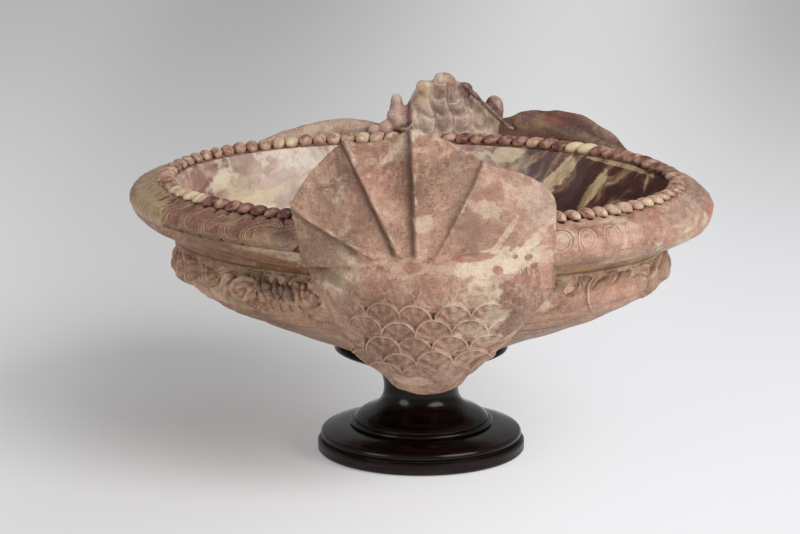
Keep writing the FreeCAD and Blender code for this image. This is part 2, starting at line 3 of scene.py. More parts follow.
import bpy
import numpy as np
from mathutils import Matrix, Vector


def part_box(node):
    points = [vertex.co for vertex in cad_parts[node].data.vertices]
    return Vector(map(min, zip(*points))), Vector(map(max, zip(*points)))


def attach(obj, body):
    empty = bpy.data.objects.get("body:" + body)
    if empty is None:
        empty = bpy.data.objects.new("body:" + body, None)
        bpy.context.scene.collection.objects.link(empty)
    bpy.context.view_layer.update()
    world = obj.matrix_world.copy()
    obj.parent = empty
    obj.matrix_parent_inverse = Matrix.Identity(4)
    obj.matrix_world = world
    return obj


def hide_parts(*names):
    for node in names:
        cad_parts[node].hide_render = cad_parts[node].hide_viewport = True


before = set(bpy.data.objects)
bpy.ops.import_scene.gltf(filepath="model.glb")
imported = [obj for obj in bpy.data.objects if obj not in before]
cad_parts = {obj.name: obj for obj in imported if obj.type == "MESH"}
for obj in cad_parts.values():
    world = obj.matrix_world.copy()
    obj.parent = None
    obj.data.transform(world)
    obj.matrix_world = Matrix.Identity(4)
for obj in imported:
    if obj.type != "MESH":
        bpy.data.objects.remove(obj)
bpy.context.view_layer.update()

# Oval marble basin carved as a sea creature, on a turned wooden foot.
# Metres, in the frame of the solids: +X along the oval, -Y the tail end, +Z up.

bowl_low, bowl_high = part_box("basin_bowl")
half_length = bowl_high.x
half_width = bowl_high.y
seat_z = bowl_low.z
rim_z = bowl_high.z
bowl_height = rim_z - seat_z
bowl_reach = np.array([half_length, half_width, bowl_height])

# Camera, as fitted to the photograph
camera_place = (0.5926, -7.0521, 2.0446)
camera_aim = (-0.0254, -0.0022, 0.2272)
camera_lens = 272.93

# Tail and head: where they stand, and how far they reach up, aside and away from the bowl
tail_offset = 0.022
tail_half_width = 0.155
tail_rise = 0.129
tail_projection = 0.034
tail_back_line = 0.118
fan_root_stand = 0.019
fan_tip_stand = 0.008
head_offset = 0.015
head_half_width = 0.076
head_rise = 0.082
head_projection = 0.041
head_top_shift = -0.014

# Coins of the rim: middle along and up the rim, and half size along and up it
long_coin_places = [(0.146, 0.0190, 0.0250, 0.0230), (0.1785, 0.0210, 0.0255, 0.0250)]
long_coin_places += [(0.211 + 0.0325 * k, 0.0290, 0.0262, 0.0320) for k in range(20)]
round_coin_places = [(0.1925 + 0.0330 * k, 0.0195, 0.0150 - 0.0008 * k, 0.0180) for k in range(4)]

# Pale (1) and dark (0) lines on the rim: pale on the coins' raised lines, partly painted highlight,
# and dark as painted shade between them and under each coin's edge. A long coin's run from its
# middle to 0.45, bare stone at 0.5, a round coin's from 0.55 up to its edge
coin_lines = [
    (0.0, 0.5), (0.300, 0.5), (0.318, 0.36), (0.333, 0.88), (0.345, 0.5), (0.357, 0.12),
    (0.370, 0.5), (0.382, 1.0), (0.395, 0.5), (0.407, 0.05), (0.419, 0.5), (0.432, 1.0),
    (0.441, 0.7), (0.450, 0.10), (0.475, 0.5), (0.740, 0.5), (0.765, 0.75), (0.785, 0.5),
    (0.820, 0.5), (0.845, 0.12), (0.866, 0.5), (0.885, 0.5), (0.910, 0.90), (0.932, 0.5),
    (0.960, 0.02), (0.985, 0.5), (1.0, 0.5),
]

# The rim hangs by this much at its right end and stands up as much at its left
rim_tilt = -0.0035

# Beads: the line of their middles, their number, radius, spacing, and height above the brim
bead_line_x = 0.847 * half_length + 0.0092
bead_line_y = 0.800 * half_width + 0.0092
bead_count = 92
bead_radius = 0.0086
bead_pitch = 0.0181
bead_stand = 0.0056

# Section of the strip under the beads: outward from their line and up from the brim
strip_section = [
    (-0.0062, 0), (-0.006, 0.0028), (-0.003, 0.0042), (0.003, 0.0042),
    (0.0075, 0.0022), (0.0075, 0), (-0.0062, 0),
]

# The mouldings' upright edges crowd towards the ends of the oval, where the carving is finest
crowding = 0.4

# Scrolls of the lower moulding: way along from the tail side, height on the moulding, and size
scroll_places = [(-0.214, 0.043, 0.023), (-0.46, 0.040, 0.021)]

# The bulge is this much shorter round than the rim
bulge_run_share = 0.86

# Scales of the tail
scale_pitch = 0.0405
scale_rise = 0.0205
scale_radius = 0.0218
scale_height = 0.0036

# Blocky scales of the crown
tile_width = 0.0225
tile_height = 0.0200


# ---- Working by hand ----


def clear_selection():
    """Nothing is selected before a new piece begins."""
    if bpy.context.object and bpy.context.object.mode != "OBJECT":
        bpy.ops.object.mode_set(mode="OBJECT")
    bpy.ops.object.select_all(action="DESELECT")


def pick(piece):
    """Only this piece is selected, and it is the active one."""
    clear_selection()
    bpy.context.view_layer.objects.active = piece
    piece.select_set(True)


def begin_edit():
    """Edit mode, with the whole piece selected."""
    bpy.ops.object.mode_set(mode="EDIT")
    bpy.ops.mesh.select_all(action="SELECT")


def end_edit():
    bpy.ops.object.mode_set(mode="OBJECT")


def name_piece(name):
    """Names the piece that was just made."""
    piece = bpy.context.object
    piece.name = name
    piece.data.name = name
    return piece


def vectors_of(items, kind):
    """One kind of vector of every vertex or face, as rows of three."""
    flat = np.empty(len(items) * 3)
    items.foreach_get(kind, flat)
    return flat.reshape(-1, 3)


def places_of(piece):
    return vectors_of(piece.data.vertices, "co")


def normals_of(piece):
    return vectors_of(piece.data.vertices, "normal")


def set_places(piece, places):
    piece.data.vertices.foreach_set("co", np.ascontiguousarray(places, dtype=np.float32).ravel())
    piece.data.update()


def mark(piece, name, values):
    """Writes one number per vertex, which the finish of the piece reads."""
    layer = piece.data.attributes.get(name) or piece.data.attributes.new(name, "FLOAT", "POINT")
    layer.data.foreach_set("value", np.ascontiguousarray(values, dtype=np.float32))


def face_out(piece):
    """Merges doubled corners and turns every face outward."""
    pick(piece)
    begin_edit()
    bpy.ops.mesh.remove_doubles(threshold=0.00002)
    bpy.ops.mesh.normals_make_consistent(inside=False)
    end_edit()


def smooth(piece, angle=None):
    """Shades the piece smoothly, up to an angle where one is given."""
    pick(piece)
    if angle is None:
        bpy.ops.object.shade_smooth()
    else:
        bpy.ops.object.shade_smooth_by_angle(angle=angle)


def apply_modifier(piece, kind, **settings):
    pick(piece)
    modifier = piece.modifiers.new(kind.lower(), kind)
    for key, value in settings.items():
        setattr(modifier, key, value)
    bpy.ops.object.modifier_apply(modifier=modifier.name)


def join(name, pieces):
    clear_selection()
    for piece in pieces:
        piece.select_set(True)
    bpy.context.view_layer.objects.active = pieces[0]
    bpy.ops.object.join()
    return name_piece(name)


def finish_piece(piece, material, slot, *nodes):
    """Gives a finished piece its material, hangs it under the root and hides the solids of the
    nodes that it shows. The slot is not used.
    """
    piece.data.materials.clear()
    piece.data.materials.append(material)
    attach(piece, "root")
    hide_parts(*nodes)


def ring_to_draw(name, corners):
    """A ring of corners in edit mode, all selected, to be shaped and drawn out."""
    clear_selection()
    bpy.ops.mesh.primitive_circle_add(
        vertices=corners, radius=1, fill_type="NOTHING", location=(0, 0, 0)
    )
    piece = name_piece(name)
    begin_edit()
    return piece


def level_rings(name, stations, segments):
    """Skin through level ovals, one ring of vertices after another.

    Each station is half length, half width, height, and the place of its middle along x and y.
    """
    piece = ring_to_draw(name, segments)
    across, along, level, middle_x, middle_y = stations[0]
    bpy.ops.transform.resize(value=(across, along, 1), center_override=(0, 0, 0))
    bpy.ops.transform.translate(value=(middle_x, middle_y, level))
    for station in stations[1:]:
        move = (station[3] - middle_x, station[4] - middle_y, station[2] - level)
        bpy.ops.mesh.extrude_edges_move(TRANSFORM_OT_translate={"value": move})
        grow = (station[0] / across, station[1] / along, 1)
        across, along, level, middle_x, middle_y = station
        bpy.ops.transform.resize(value=grow, center_override=(middle_x, middle_y, level))
    end_edit()
    return piece


def close_ends(piece):
    """Fills the open first and last ring."""
    pick(piece)
    begin_edit()
    bpy.ops.mesh.fill_holes(sides=0)
    end_edit()
    return piece


def ball(name, radius, place):
    """A ball in its place, while its object stays at the origin."""
    clear_selection()
    bpy.ops.mesh.primitive_uv_sphere_add(segments=24, ring_count=16, radius=radius, location=place)
    piece = name_piece(name)
    bpy.ops.object.transform_apply(location=True, rotation=False, scale=False)
    return piece


# ---- Lines and patterns ----


def way_along(line):
    """Distance along a line of places, from its first one to each of them."""
    return np.concatenate([[0], np.cumsum(np.linalg.norm(np.diff(line, axis=0), axis=1))])


def oval_ways(reach_x, reach_y, angles):
    """Distance along an oval from the first of the angles to each of them."""
    return way_along(np.stack([reach_x * np.cos(angles), reach_y * np.sin(angles)], 1))


def along_curve(points, count):
    """Evenly spaced places on a smooth line through the points, all as shares of the bowl."""
    points = np.asarray(points, float)
    knots = way_along(points * bowl_reach)
    slopes = np.gradient(points, knots, axis=0)
    fine = np.linspace(0, knots[-1], 40 * len(points))
    place = np.clip(np.searchsorted(knots, fine, side="right") - 1, 0, len(knots) - 2)
    width = knots[place + 1] - knots[place]
    share = ((fine - knots[place]) / width)[:, None]
    width = width[:, None]
    smooth_line = (
        points[place] * (1 + 2 * share) * (1 - share) ** 2
        + slopes[place] * width * share * (1 - share) ** 2
        + points[place + 1] * share**2 * (3 - 2 * share)
        + slopes[place + 1] * width * share**2 * (share - 1)
    )
    length = way_along(smooth_line * bowl_reach)
    even = np.linspace(0, length[-1], count)
    return np.stack([np.interp(even, length, smooth_line[:, axis]) for axis in range(3)], 1)


def bowl_stations(shares):
    """Level rings of the bowl from shares of its half length, half width and height."""
    return [(a * half_length, b * half_width, seat_z + h * bowl_height, 0, 0) for a, b, h in shares]


def swell(places, size, seed):
    """Soft uneven height, about one to minus one, with swellings of about one size."""
    chance = np.random.default_rng(seed)
    total = np.zeros(len(places))
    for turn in range(9):
        way = chance.normal(size=3)
        way = way / np.linalg.norm(way) * 2 * math.pi / size * chance.uniform(0.6, 1.5)
        total += np.sin(places @ way + chance.uniform(0, 2 * math.pi))
    return total / 3


def level_of(places):
    """Height as a share of the bowl's."""
    return (places[:, 2] - seat_z) / bowl_height


def soft_step(value, low, high):
    """From nought at low to one at high, with soft ends."""
    share = np.clip((value - low) / (high - low), 0, 1)
    return share * share * (3 - 2 * share)


def ridge(value, width):
    """A narrow raised line where the value is nought."""
    return np.exp(-((value / width) ** 2))


def window(value, rise_from, rise_to, fall_from, fall_to):
    """One between two soft edges, nought outside them."""
    return soft_step(value, rise_from, rise_to) * (1 - soft_step(value, fall_from, fall_to))


def rim_line(place_x):
    """How far the rim's outline lies from the long axis at a place along x."""
    return half_width * np.sqrt(np.maximum(0, 1 - (place_x / half_length) ** 2))


def run_along_rim(places):
    """Way along the oval from the middle of the tail side, and the way all round it."""
    turn = np.arctan2(places[:, 1] / half_width, places[:, 0] / half_length)
    angles = np.linspace(-math.pi, math.pi, 3601)
    length = oval_ways(half_length, half_width, angles)
    run = np.interp(turn, angles, length)
    middle = np.interp(-math.pi / 2, angles, length)
    full = length[-1]
    return (run - middle + full / 2) % full - full / 2, full


# ---- Finishes ----


def tone(red, green, blue):
    """Colour as it looks on a screen, 0 to 255, turned to linear light."""
    light = [
        (v / 255) / 12.92 if v <= 10 else ((v / 255 + 0.055) / 1.055) ** 2.4
        for v in (red, green, blue)
    ]
    return (*light, 1.0)


class Finish:
    """One node material, put together step by step."""

    def __init__(self, name):
        self.material = bpy.data.materials.new(name)
        self.material.use_nodes = True
        self.tree = self.material.node_tree
        self.tree.nodes.clear()
        self.output = self.tree.nodes.new("ShaderNodeOutputMaterial")
        self.shader = self.tree.nodes.new("ShaderNodeBsdfPrincipled")
        self.tree.links.new(self.shader.outputs[0], self.output.inputs["Surface"])
        self.place = self.tree.nodes.new("ShaderNodeTexCoord").outputs["Object"]

    def put(self, socket, value):
        """Links a socket to another one, or sets it to a plain value."""
        if isinstance(value, bpy.types.NodeSocket):
            self.tree.links.new(value, socket)
        else:
            socket.default_value = value

    def node(self, kind, values, **settings):
        made = self.tree.nodes.new(kind)
        for key, value in settings.items():
            setattr(made, key, value)
        for key, value in values.items():
            self.put(made.inputs[key], value)
        return made

    def mapped(self, place, scale=(1, 1, 1), turn=(0, 0, 0), move=(0, 0, 0)):
        """The place stretched, turned and moved."""
        values = {"Vector": place, "Scale": scale, "Rotation": turn, "Location": move}
        return self.node("ShaderNodeMapping", values).outputs[0]

    def noise(self, place, scale, detail=3.0, roughness=0.55, distortion=0.0):
        values = {
            "Vector": place, "Scale": scale, "Detail": detail, "Roughness": roughness,
            "Distortion": distortion,
        }
        return self.node("ShaderNodeTexNoise", values).outputs["Fac"]

    def noise_at(self, spot, turn, move, scale, detail, roughness=0.6):
        """Noise on the place turned and moved, so that no two noises run together."""
        return self.noise(self.mapped(spot, turn=turn, move=move), scale, detail, roughness)

    def maths(self, kind, a, b=0.0):
        return self.node("ShaderNodeMath", {0: a, 1: b}, operation=kind).outputs[0]

    def plus(self, a, b):
        return self.maths("ADD", a, b)

    def minus(self, a, b):
        return self.maths("SUBTRACT", a, b)

    def times(self, a, b):
        return self.maths("MULTIPLY", a, b)

    def arrow(self, kind, values):
        """A sum with places or directions."""
        return self.node("ShaderNodeVectorMath", values, operation=kind).outputs[0]

    def off_middle(self, value):
        """Nought where a noise passes its middle, which draws a vein."""
        return self.maths("ABSOLUTE", self.minus(value, 0.5))

    def between(self, value, low, high, to_low=0.0, to_high=1.0):
        """Softly from one number to another while the value goes from low to high."""
        values = {
            "Value": value, "From Min": low, "From Max": high, "To Min": to_low, "To Max": to_high
        }
        return self.node("ShaderNodeMapRange", values, interpolation_type="SMOOTHSTEP").outputs[0]

    def mix(self, share, a, b, blend="MIX"):
        made = self.tree.nodes.new("ShaderNodeMix")
        made.data_type = "RGBA"
        made.blend_type = blend
        self.put(made.inputs[0], share)
        self.put(made.inputs[6], a)
        self.put(made.inputs[7], b)
        return made.outputs[2]

    def tint(self, colour, shade, value, low, high, strength):
        """Lets a shade in while the value goes from low to high."""
        return self.mix(self.between(value, low, high, 0.0, strength), colour, shade)

    def wandering(self, strength, scale, small_strength, small_scale):
        """The place pushed about by one slow and one quick noise, so that veins wander."""
        place = self.place
        for amount, size in ((strength, scale), (small_strength, small_scale)):
            noise = self.node(
                "ShaderNodeTexNoise", {"Vector": self.place, "Scale": size, "Detail": 2.0}
            )
            push = self.arrow("SUBTRACT", {0: noise.outputs["Color"], 1: (0.5, 0.5, 0.5)})
            push = self.arrow("SCALE", {0: push, "Scale": amount})
            place = self.arrow("ADD", {0: place, 1: push})
        return place

    def ramp(self, value, stops):
        made = self.tree.nodes.new("ShaderNodeValToRGB")
        self.put(made.inputs[0], value)
        points = made.color_ramp.elements
        while len(points) < len(stops):
            points.new(0.5)
        for point, (position, shade) in zip(points, stops):
            point.position = position
            point.color = shade
        return made.outputs[0]

    def zone(self, spot, centre, size, lean, strength, ragged):
        """How far a place belongs to a leaning oval with a ragged edge, set out along x and z."""
        moved = self.arrow("SUBTRACT", {0: self.place, 1: (centre[0], 0, centre[1])})
        parts = self.node("ShaderNodeSeparateXYZ", {0: self.mapped(moved, turn=(0, lean, 0))})
        across = self.maths("DIVIDE", parts.outputs[0], size[0])
        up = self.maths("DIVIDE", parts.outputs[2], size[1])
        far = self.maths("SQRT", self.plus(self.times(across, across), self.times(up, up)))
        edge = self.times(self.minus(self.noise(spot, 55.0, 6.0, 0.7), 0.5), 3.0 * ragged)
        return self.between(self.plus(far, edge), 1.14, 0.86, 0.0, strength)

    def stain(self, colour, spot, shade, *zone):
        """A stain of one tone in a zone, a little uneven."""
        shade = tone(*shade)
        uneven = self.between(self.noise(spot, 90.0, 4.0, 0.65), 0.35, 0.65, 0.0, 0.35)
        return self.mix(self.zone(spot, *zone), colour, self.mix(uneven, shade, colour))

    def mark(self, name):
        """The number that the modelling wrote on each vertex under this name."""
        return self.node(
            "ShaderNodeAttribute", {}, attribute_name=name, attribute_type="GEOMETRY"
        ).outputs["Fac"]

    def axis(self, index):
        return self.node("ShaderNodeSeparateXYZ", {0: self.place}).outputs[index]

    def bump(self, height, strength, distance, below=None):
        values = {"Height": height, "Strength": strength, "Distance": distance}
        if below is not None:
            values["Normal"] = below
        return self.node("ShaderNodeBump", values).outputs[0]

    def surface(self, colour, roughness, relief=None, specular=0.5, metallic=0.0):
        """Joins tone, roughness and relief to the shader and hands over the material."""
        self.put(self.shader.inputs["Base Color"], colour)
        self.put(self.shader.inputs["Roughness"], roughness)
        if relief is not None:
            self.put(self.shader.inputs["Normal"], relief)
        self.shader.inputs["Specular IOR Level"].default_value = specular
        self.shader.inputs["Metallic"].default_value = metallic
        return self.material


cream = tone(222, 206, 180)
red_brown = tone(134, 88, 74)
ochre = tone(168, 138, 92)
# Dark brown for fine dirt flecks, and for painted shade in the carving's hollows and between the
# coins' lines
dirt_and_painted_shade = tone(76, 47, 36)
combed_cream = tone(214, 200, 160)

# Tones of the hollow and the beads, as places on a ramp and colours on a screen
hollow_left_tones = [
    (0.36, (134, 98, 88)), (0.45, (158, 126, 113)), (0.53, (174, 152, 138)), (0.62, (200, 180, 154))
]
hollow_right_tones = [
    (0.38, (58, 31, 28)), (0.50, (80, 44, 38)), (0.56, (112, 74, 58)), (0.63, (160, 130, 96)),
    (0.73, (202, 182, 146)),
]
bead_tones = [
    (0.08, (96, 56, 48)), (0.32, (142, 98, 84)), (0.58, (184, 146, 126)), (0.9, (212, 192, 158))
]


def blotches(made, spot, streak, tones):
    """Clouds of the four tones, with pale and dark streaks and flecks."""
    dark, middle, light, pale = tones
    broad = made.noise(spot, 13.0, 7.0, 0.68)
    colour = made.ramp(broad, [(0.34, dark), (0.47, middle), (0.58, light), (0.70, pale)])
    colour = made.tint(colour, pale, streak, 0.52, 0.70, 0.55)
    colour = made.tint(colour, dark, streak, 0.46, 0.32, 0.55)
    fleck = made.noise_at(spot, (0.7, 0.1, 0.4), (1.0, 2.0, 6.0), 120.0, 5.0, 0.7)
    colour = made.tint(colour, pale, fleck, 0.50, 0.68, 0.60)
    return made.tint(colour, dark, fleck, 0.46, 0.30, 0.70)


def islands_and_veins(made, spot, colour, tones, red, cream_share, ochre_share):
    """Red islands, yellow stains, soft cream veins and fine hair lines."""
    island = made.noise_at(spot, (0.4, 0.2, 0.9), (3.1, 1.7, 0.4), 19.0, 5.0)
    colour = made.tint(colour, red_brown, island, 0.62 - 0.10 * red, 0.68 - 0.10 * red, 0.75)
    yellow = made.noise_at(spot, (0, 1.1, 0.3), (1.4, 8.8, 2.9), 12.0, 5.0)
    colour = made.tint(
        colour, ochre, yellow, 0.64 - 0.12 * ochre_share, 0.76 - 0.12 * ochre_share, 0.7
    )
    vein = made.off_middle(made.noise_at(spot, (0.9, 0.5, 0.1), (7.3, 2.2, 5.4), 8.0, 6.0, 0.62))
    thin = made.between(vein, 0.0, 0.03 + 0.05 * cream_share, 1.0, 0.0)
    thin = made.times(thin, made.between(made.noise(spot, 9.0, 4.0, 0.6), 0.45, 0.62, 0.0, 0.9))
    colour = made.mix(made.times(thin, min(1.0, 1.6 * cream_share)), colour, cream)
    hair = made.off_middle(made.noise_at(spot, (0.1, 0.7, 1.2), (3.3, 6.1, 2.4), 24.0, 5.0))
    hair_shade = made.mix(made.between(island, 0.45, 0.55), tones[0], tones[3])
    return made.mix(made.between(hair, 0.0, 0.016, 0.36, 0.0), colour, hair_shade)


def coin_shading_and_combing(made, spot, colour, dark):
    """Pale and dark lines of the rim's coins, as painted highlight and painted shade, and the
    combed streaks at its left end.
    """
    lines = made.ramp(
        made.mark("coin"), [(place, (grey, grey, grey, 1)) for place, grey in coin_lines]
    )
    worth = made.times(
        made.between(made.axis(2), 0.300, 0.318, 0.25, 1.0),
        made.between(made.noise(spot, 70.0, 3.0, 0.6), 0.40, 0.50, 0.60, 1.0),
    )
    worth = made.times(worth, made.between(made.axis(0), 0.205, 0.285, 0.9, 0.25))
    colour = made.mix(made.times(made.between(lines, 0.52, 1.0), worth), colour, cream)
    colour = made.mix(made.times(made.between(lines, 0.48, 0.0), worth), colour, dirt_and_painted_shade)
    run = made.node("ShaderNodeCombineXYZ", {0: made.mark("rim_run")}).outputs[0]
    combed = made.noise(run, 420.0, 3.0, 0.6)
    at_end = made.between(made.axis(0), -0.27, -0.30)
    colour = made.mix(
        made.times(made.between(combed, 0.50, 0.60, 0.0, 0.7), at_end), colour, combed_cream
    )
    return made.mix(made.times(made.between(combed, 0.48, 0.38, 0.0, 0.6), at_end), colour, dark)


def marble(
    name, tones, red, cream_share, ochre_share, gloss, tooling, seed, left_painted_shade=0.0, patches=(),
    coins=False,
):
    """Breccia marble from four tones, dark to pale, with stains, tool marks, dirt flecks, painted
    shade and highlight in the carving, and painted shade on the left side.
    """
    tones = [tone(*shade) for shade in tones]
    dark, pale = tones[0], tones[3]
    made = Finish(name)
    spot = made.mapped(made.wandering(0.07, 6.0, 0.018, 28.0), move=(seed, seed * 0.7, -seed))
    streak = made.noise_at(spot, (0.3, 0.5, 0.9), (2.0, 5.0, 1.0), 34.0, 6.0, 0.7)
    colour = blotches(made, spot, streak, tones)
    colour = islands_and_veins(made, spot, colour, tones, red, cream_share, ochre_share)
    for patch in patches:
        colour = made.stain(colour, spot, *patch)
    if coins:
        colour = coin_shading_and_combing(made, spot, colour, dark)
    # Painted shade: the left side is darkened, as the lamp falls from the right; partly also the
    # stone's own darker tone there
    if left_painted_shade:
        shaded = made.mix(1.0, colour, tone(186, 168, 150), "MULTIPLY")
        colour = made.mix(made.between(made.axis(0), -0.34, 0.20, left_painted_shade, 0.0), colour, shaded)
    scratch = made.noise(made.mapped(made.place, (110, 110, 620), (0.25, 0.1, 0)), 1.0, 4.0, 0.65)
    cross = made.noise(made.mapped(made.place, (620, 110, 110), (0, 0.15, 0.3)), 1.0, 4.0, 0.65)
    worn = made.plus(scratch, cross)
    colour = made.tint(colour, pale, worn, 0.85, 1.2, 0.30 * tooling)
    colour = made.tint(colour, dark, worn, 0.98, 0.75, 0.45 * tooling)
    colour = made.tint(colour, dirt_and_painted_shade, made.noise(made.place, 420.0, 3.0, 0.7), 0.48, 0.30, 0.4)
    # Painted shade where the carving mark is below nought, in hollows, grooves and under edges;
    # painted highlight on ridges and edges where it is above nought, together with pale lines of
    # the stone
    carved = made.mark("carved")
    colour = made.tint(colour, dirt_and_painted_shade, carved, -0.05, -1.0, 0.92)
    colour = made.tint(colour, cream, carved, 0.08, 1.0, 0.75)
    relief = made.bump(streak, 0.3 * tooling, 0.002, made.bump(worn, 0.5 * tooling, 0.0016))
    return made.surface(
        colour, made.between(streak, 0.3, 0.7, gloss - 0.05, gloss + 0.12), relief, 0.4
    )


def hollow_marble(name):
    """The polished inside: pale clouds on the left, dark red with cream bands on the right."""
    made = Finish(name)
    spot = made.wandering(0.10, 6.0, 0.02, 26.0)
    small = made.noise(spot, 40.0, 6.0, 0.65)
    left = made.ramp(
        made.noise(spot, 9.0, 6.0, 0.62),
        [(place, tone(*shade)) for place, shade in hollow_left_tones],
    )
    cloud = made.noise_at(spot, (0.5, 0.1, 0.4), (4, 1, 2), 12.0, 6.0)
    left = made.tint(left, tone(212, 196, 168), cloud, 0.50, 0.62, 0.85)
    left = made.tint(left, tone(208, 198, 180), small, 0.54, 0.68, 0.4)
    left = made.tint(left, tone(164, 122, 114), made.noise(spot, 22.0, 6.0, 0.65), 0.52, 0.64, 0.6)
    wisp = made.off_middle(made.noise_at(spot, (0.2, 0.9, 0.4), (6, 2, 1), 14.0, 6.0))
    left = made.mix(made.between(wisp, 0.0, 0.055, 0.55, 0.0), left, tone(228, 218, 200))
    slanted = made.mapped(made.wandering(0.05, 9.0, 0.014, 40.0), turn=(0, 0.85, 0))
    bands = made.noise(made.mapped(slanted, (11.0, 6.0, 60.0), move=(2.6, 0.5, 0)), 1.0, 6.0, 0.65)
    for zone in hollow_bands:
        bands = made.plus(bands, made.times(made.zone(spot, *zone), 0.17))
    right = made.ramp(bands, [(place, tone(*shade)) for place, shade in hollow_right_tones])
    ragged = made.times(made.minus(made.noise(made.place, 9.0, 4.0), 0.5), 0.20)
    colour = made.mix(made.between(made.plus(made.axis(0), ragged), 0.05, 0.10), left, right)
    for patch in hollow_patches:
        colour = made.stain(colour, spot, *patch)
    return made.surface(
        colour, made.between(small, 0.3, 0.7, 0.24, 0.36), made.bump(small, 0.08, 0.001), 0.25
    )


def beads_marble(name):
    """Marble of the beads: each bead has its own tone, with a few veins."""
    made = Finish(name)
    small = made.noise(made.wandering(0.02, 30.0, 0.004, 120.0), 90.0, 5.0, 0.6)
    share = made.plus(made.mark("bead_tone"), made.times(made.minus(small, 0.5), 1.7))
    colour = made.ramp(share, [(place, tone(*shade)) for place, shade in bead_tones])
    # Painted shade under and between the beads, where the modelling marked it
    colour = made.tint(colour, tone(30, 20, 17), made.mark("carved"), -0.15, -0.95, 0.96)
    return made.surface(colour, 0.38, made.bump(small, 0.25, 0.001), 0.4)


def dark_wood(name, low, high, gloss):
    """Stained and polished wood, turned: fine rings and short pores."""
    made = Finish(name)
    grain = made.noise(made.mapped(made.place, (14, 14, 260)), 1.0, 5.0, 0.6, 0.6)
    pores = made.noise(made.mapped(made.place, (160, 160, 900)), 1.0, 2.0, 0.6)
    colour = made.mix(made.between(grain, 0.35, 0.7), low, high)
    colour = made.tint(colour, tone(6, 3, 3), pores, 0.55, 0.75, 0.5)
    return made.surface(
        colour, made.between(pores, 0.4, 0.7, gloss, gloss + 0.12), made.bump(pores, 0.05, 0.0006),
        0.22,
    )


def plain_finish(name, low, high, scale, roughness, metallic=0.0):
    """A simple grained finish for the pieces that hardly show."""
    made = Finish(name)
    grain = made.noise(made.place, scale, 3.0, 0.6)
    colour = made.mix(made.between(grain, 0.3, 0.7), low, high)
    worn = made.between(grain, 0.3, 0.7, roughness, roughness + 0.12)
    return made.surface(colour, worn, made.bump(grain, 0.15, 0.0008), metallic=metallic)


def paper_finish(name):
    """White paper with painted shade, darker to the left and far off, and a glow seen by the camera
    that lifts the shadow on it.
    """
    made = Finish(name)
    path = made.node("ShaderNodeLightPath", {})
    seen = made.maths("MAXIMUM", path.outputs["Is Camera Ray"], path.outputs["Is Glossy Ray"])
    # Painted shade: the paper's colour falls off to the left, to the far right and far off, as the
    # light does
    across = made.axis(0)
    near_paper = made.mix(
        made.between(across, -0.45, 0.30), tone(233, 233, 233), tone(244, 244, 247)
    )
    far_paper = made.mix(
        made.between(across, -0.62, -0.1), tone(196, 196, 196), tone(246, 246, 246)
    )
    far_paper = made.mix(made.between(across, -0.05, 0.45), far_paper, tone(184, 184, 184))
    paper = made.mix(made.between(made.axis(1), 0.1, 2.9), near_paper, far_paper)
    # Painted light: a glow seen by the camera, strongest to the right and at the far left, lifts
    # the object's shadow on the paper
    shadow_lifting_glow = made.node("ShaderNodeEmission", {"Color": paper, "Strength": 1.0})
    right_share = made.between(across, -0.30, 0.30, 0.08, 0.68)
    left_share = made.between(across, -0.34, -0.80, 0.0, 0.52)
    share = made.times(seen, made.plus(right_share, left_share))
    blend = made.node(
        "ShaderNodeMixShader", {0: share, 1: made.shader.outputs[0], 2: shadow_lifting_glow.outputs[0]}
    )
    made.put(made.output.inputs["Surface"], blend.outputs[0])
    return made.surface(made.mix(seen, tone(240, 240, 240), paper), 0.9, specular=0.1)


# ---- Bowl: outlines as shares of half length, half width and height ----

underside_shares = [
    (0.2386, 0.3194, 0.0), (0.256, 0.338, 0.028), (0.307, 0.388, 0.060), (0.398, 0.475, 0.124),
    (0.511, 0.583, 0.197), (0.639, 0.692, 0.283), (0.744, 0.772, 0.365),
]
bulge_shares = [
    (0.744, 0.772, 0.365), (0.818, 0.818, 0.430), (0.857, 0.845, 0.490), (0.861, 0.845, 0.535),
    (0.854, 0.822, 0.590), (0.844, 0.780, 0.635), (0.838, 0.742, 0.658),
]
neck_shares = [
    (0.838, 0.742, 0.658), (0.856, 0.775, 0.696), (0.897, 0.850, 0.735), (0.952, 0.933, 0.785),
    (0.984, 0.982, 0.835), (0.992, 0.993, 0.865),
]
rim_shares = [
    (0.992, 0.993, 0.865), (1.000, 1.000, 0.900), (0.991, 0.988, 0.945), (0.965, 0.957, 0.982),
    (0.925, 0.906, 0.999), (0.905, 0.880, 1.001), (0.892, 0.860, 1.000),
]
hollow_shares = [
    (0.847, 0.800, 1.000), (0.830, 0.781, 0.926), (0.798, 0.749, 0.793), (0.755, 0.693, 0.645),
    (0.682, 0.639, 0.483), (0.554, 0.521, 0.340), (0.369, 0.346, 0.246), (0.171, 0.160, 0.204),
    (0.02, 0.02, 0.1985),
]

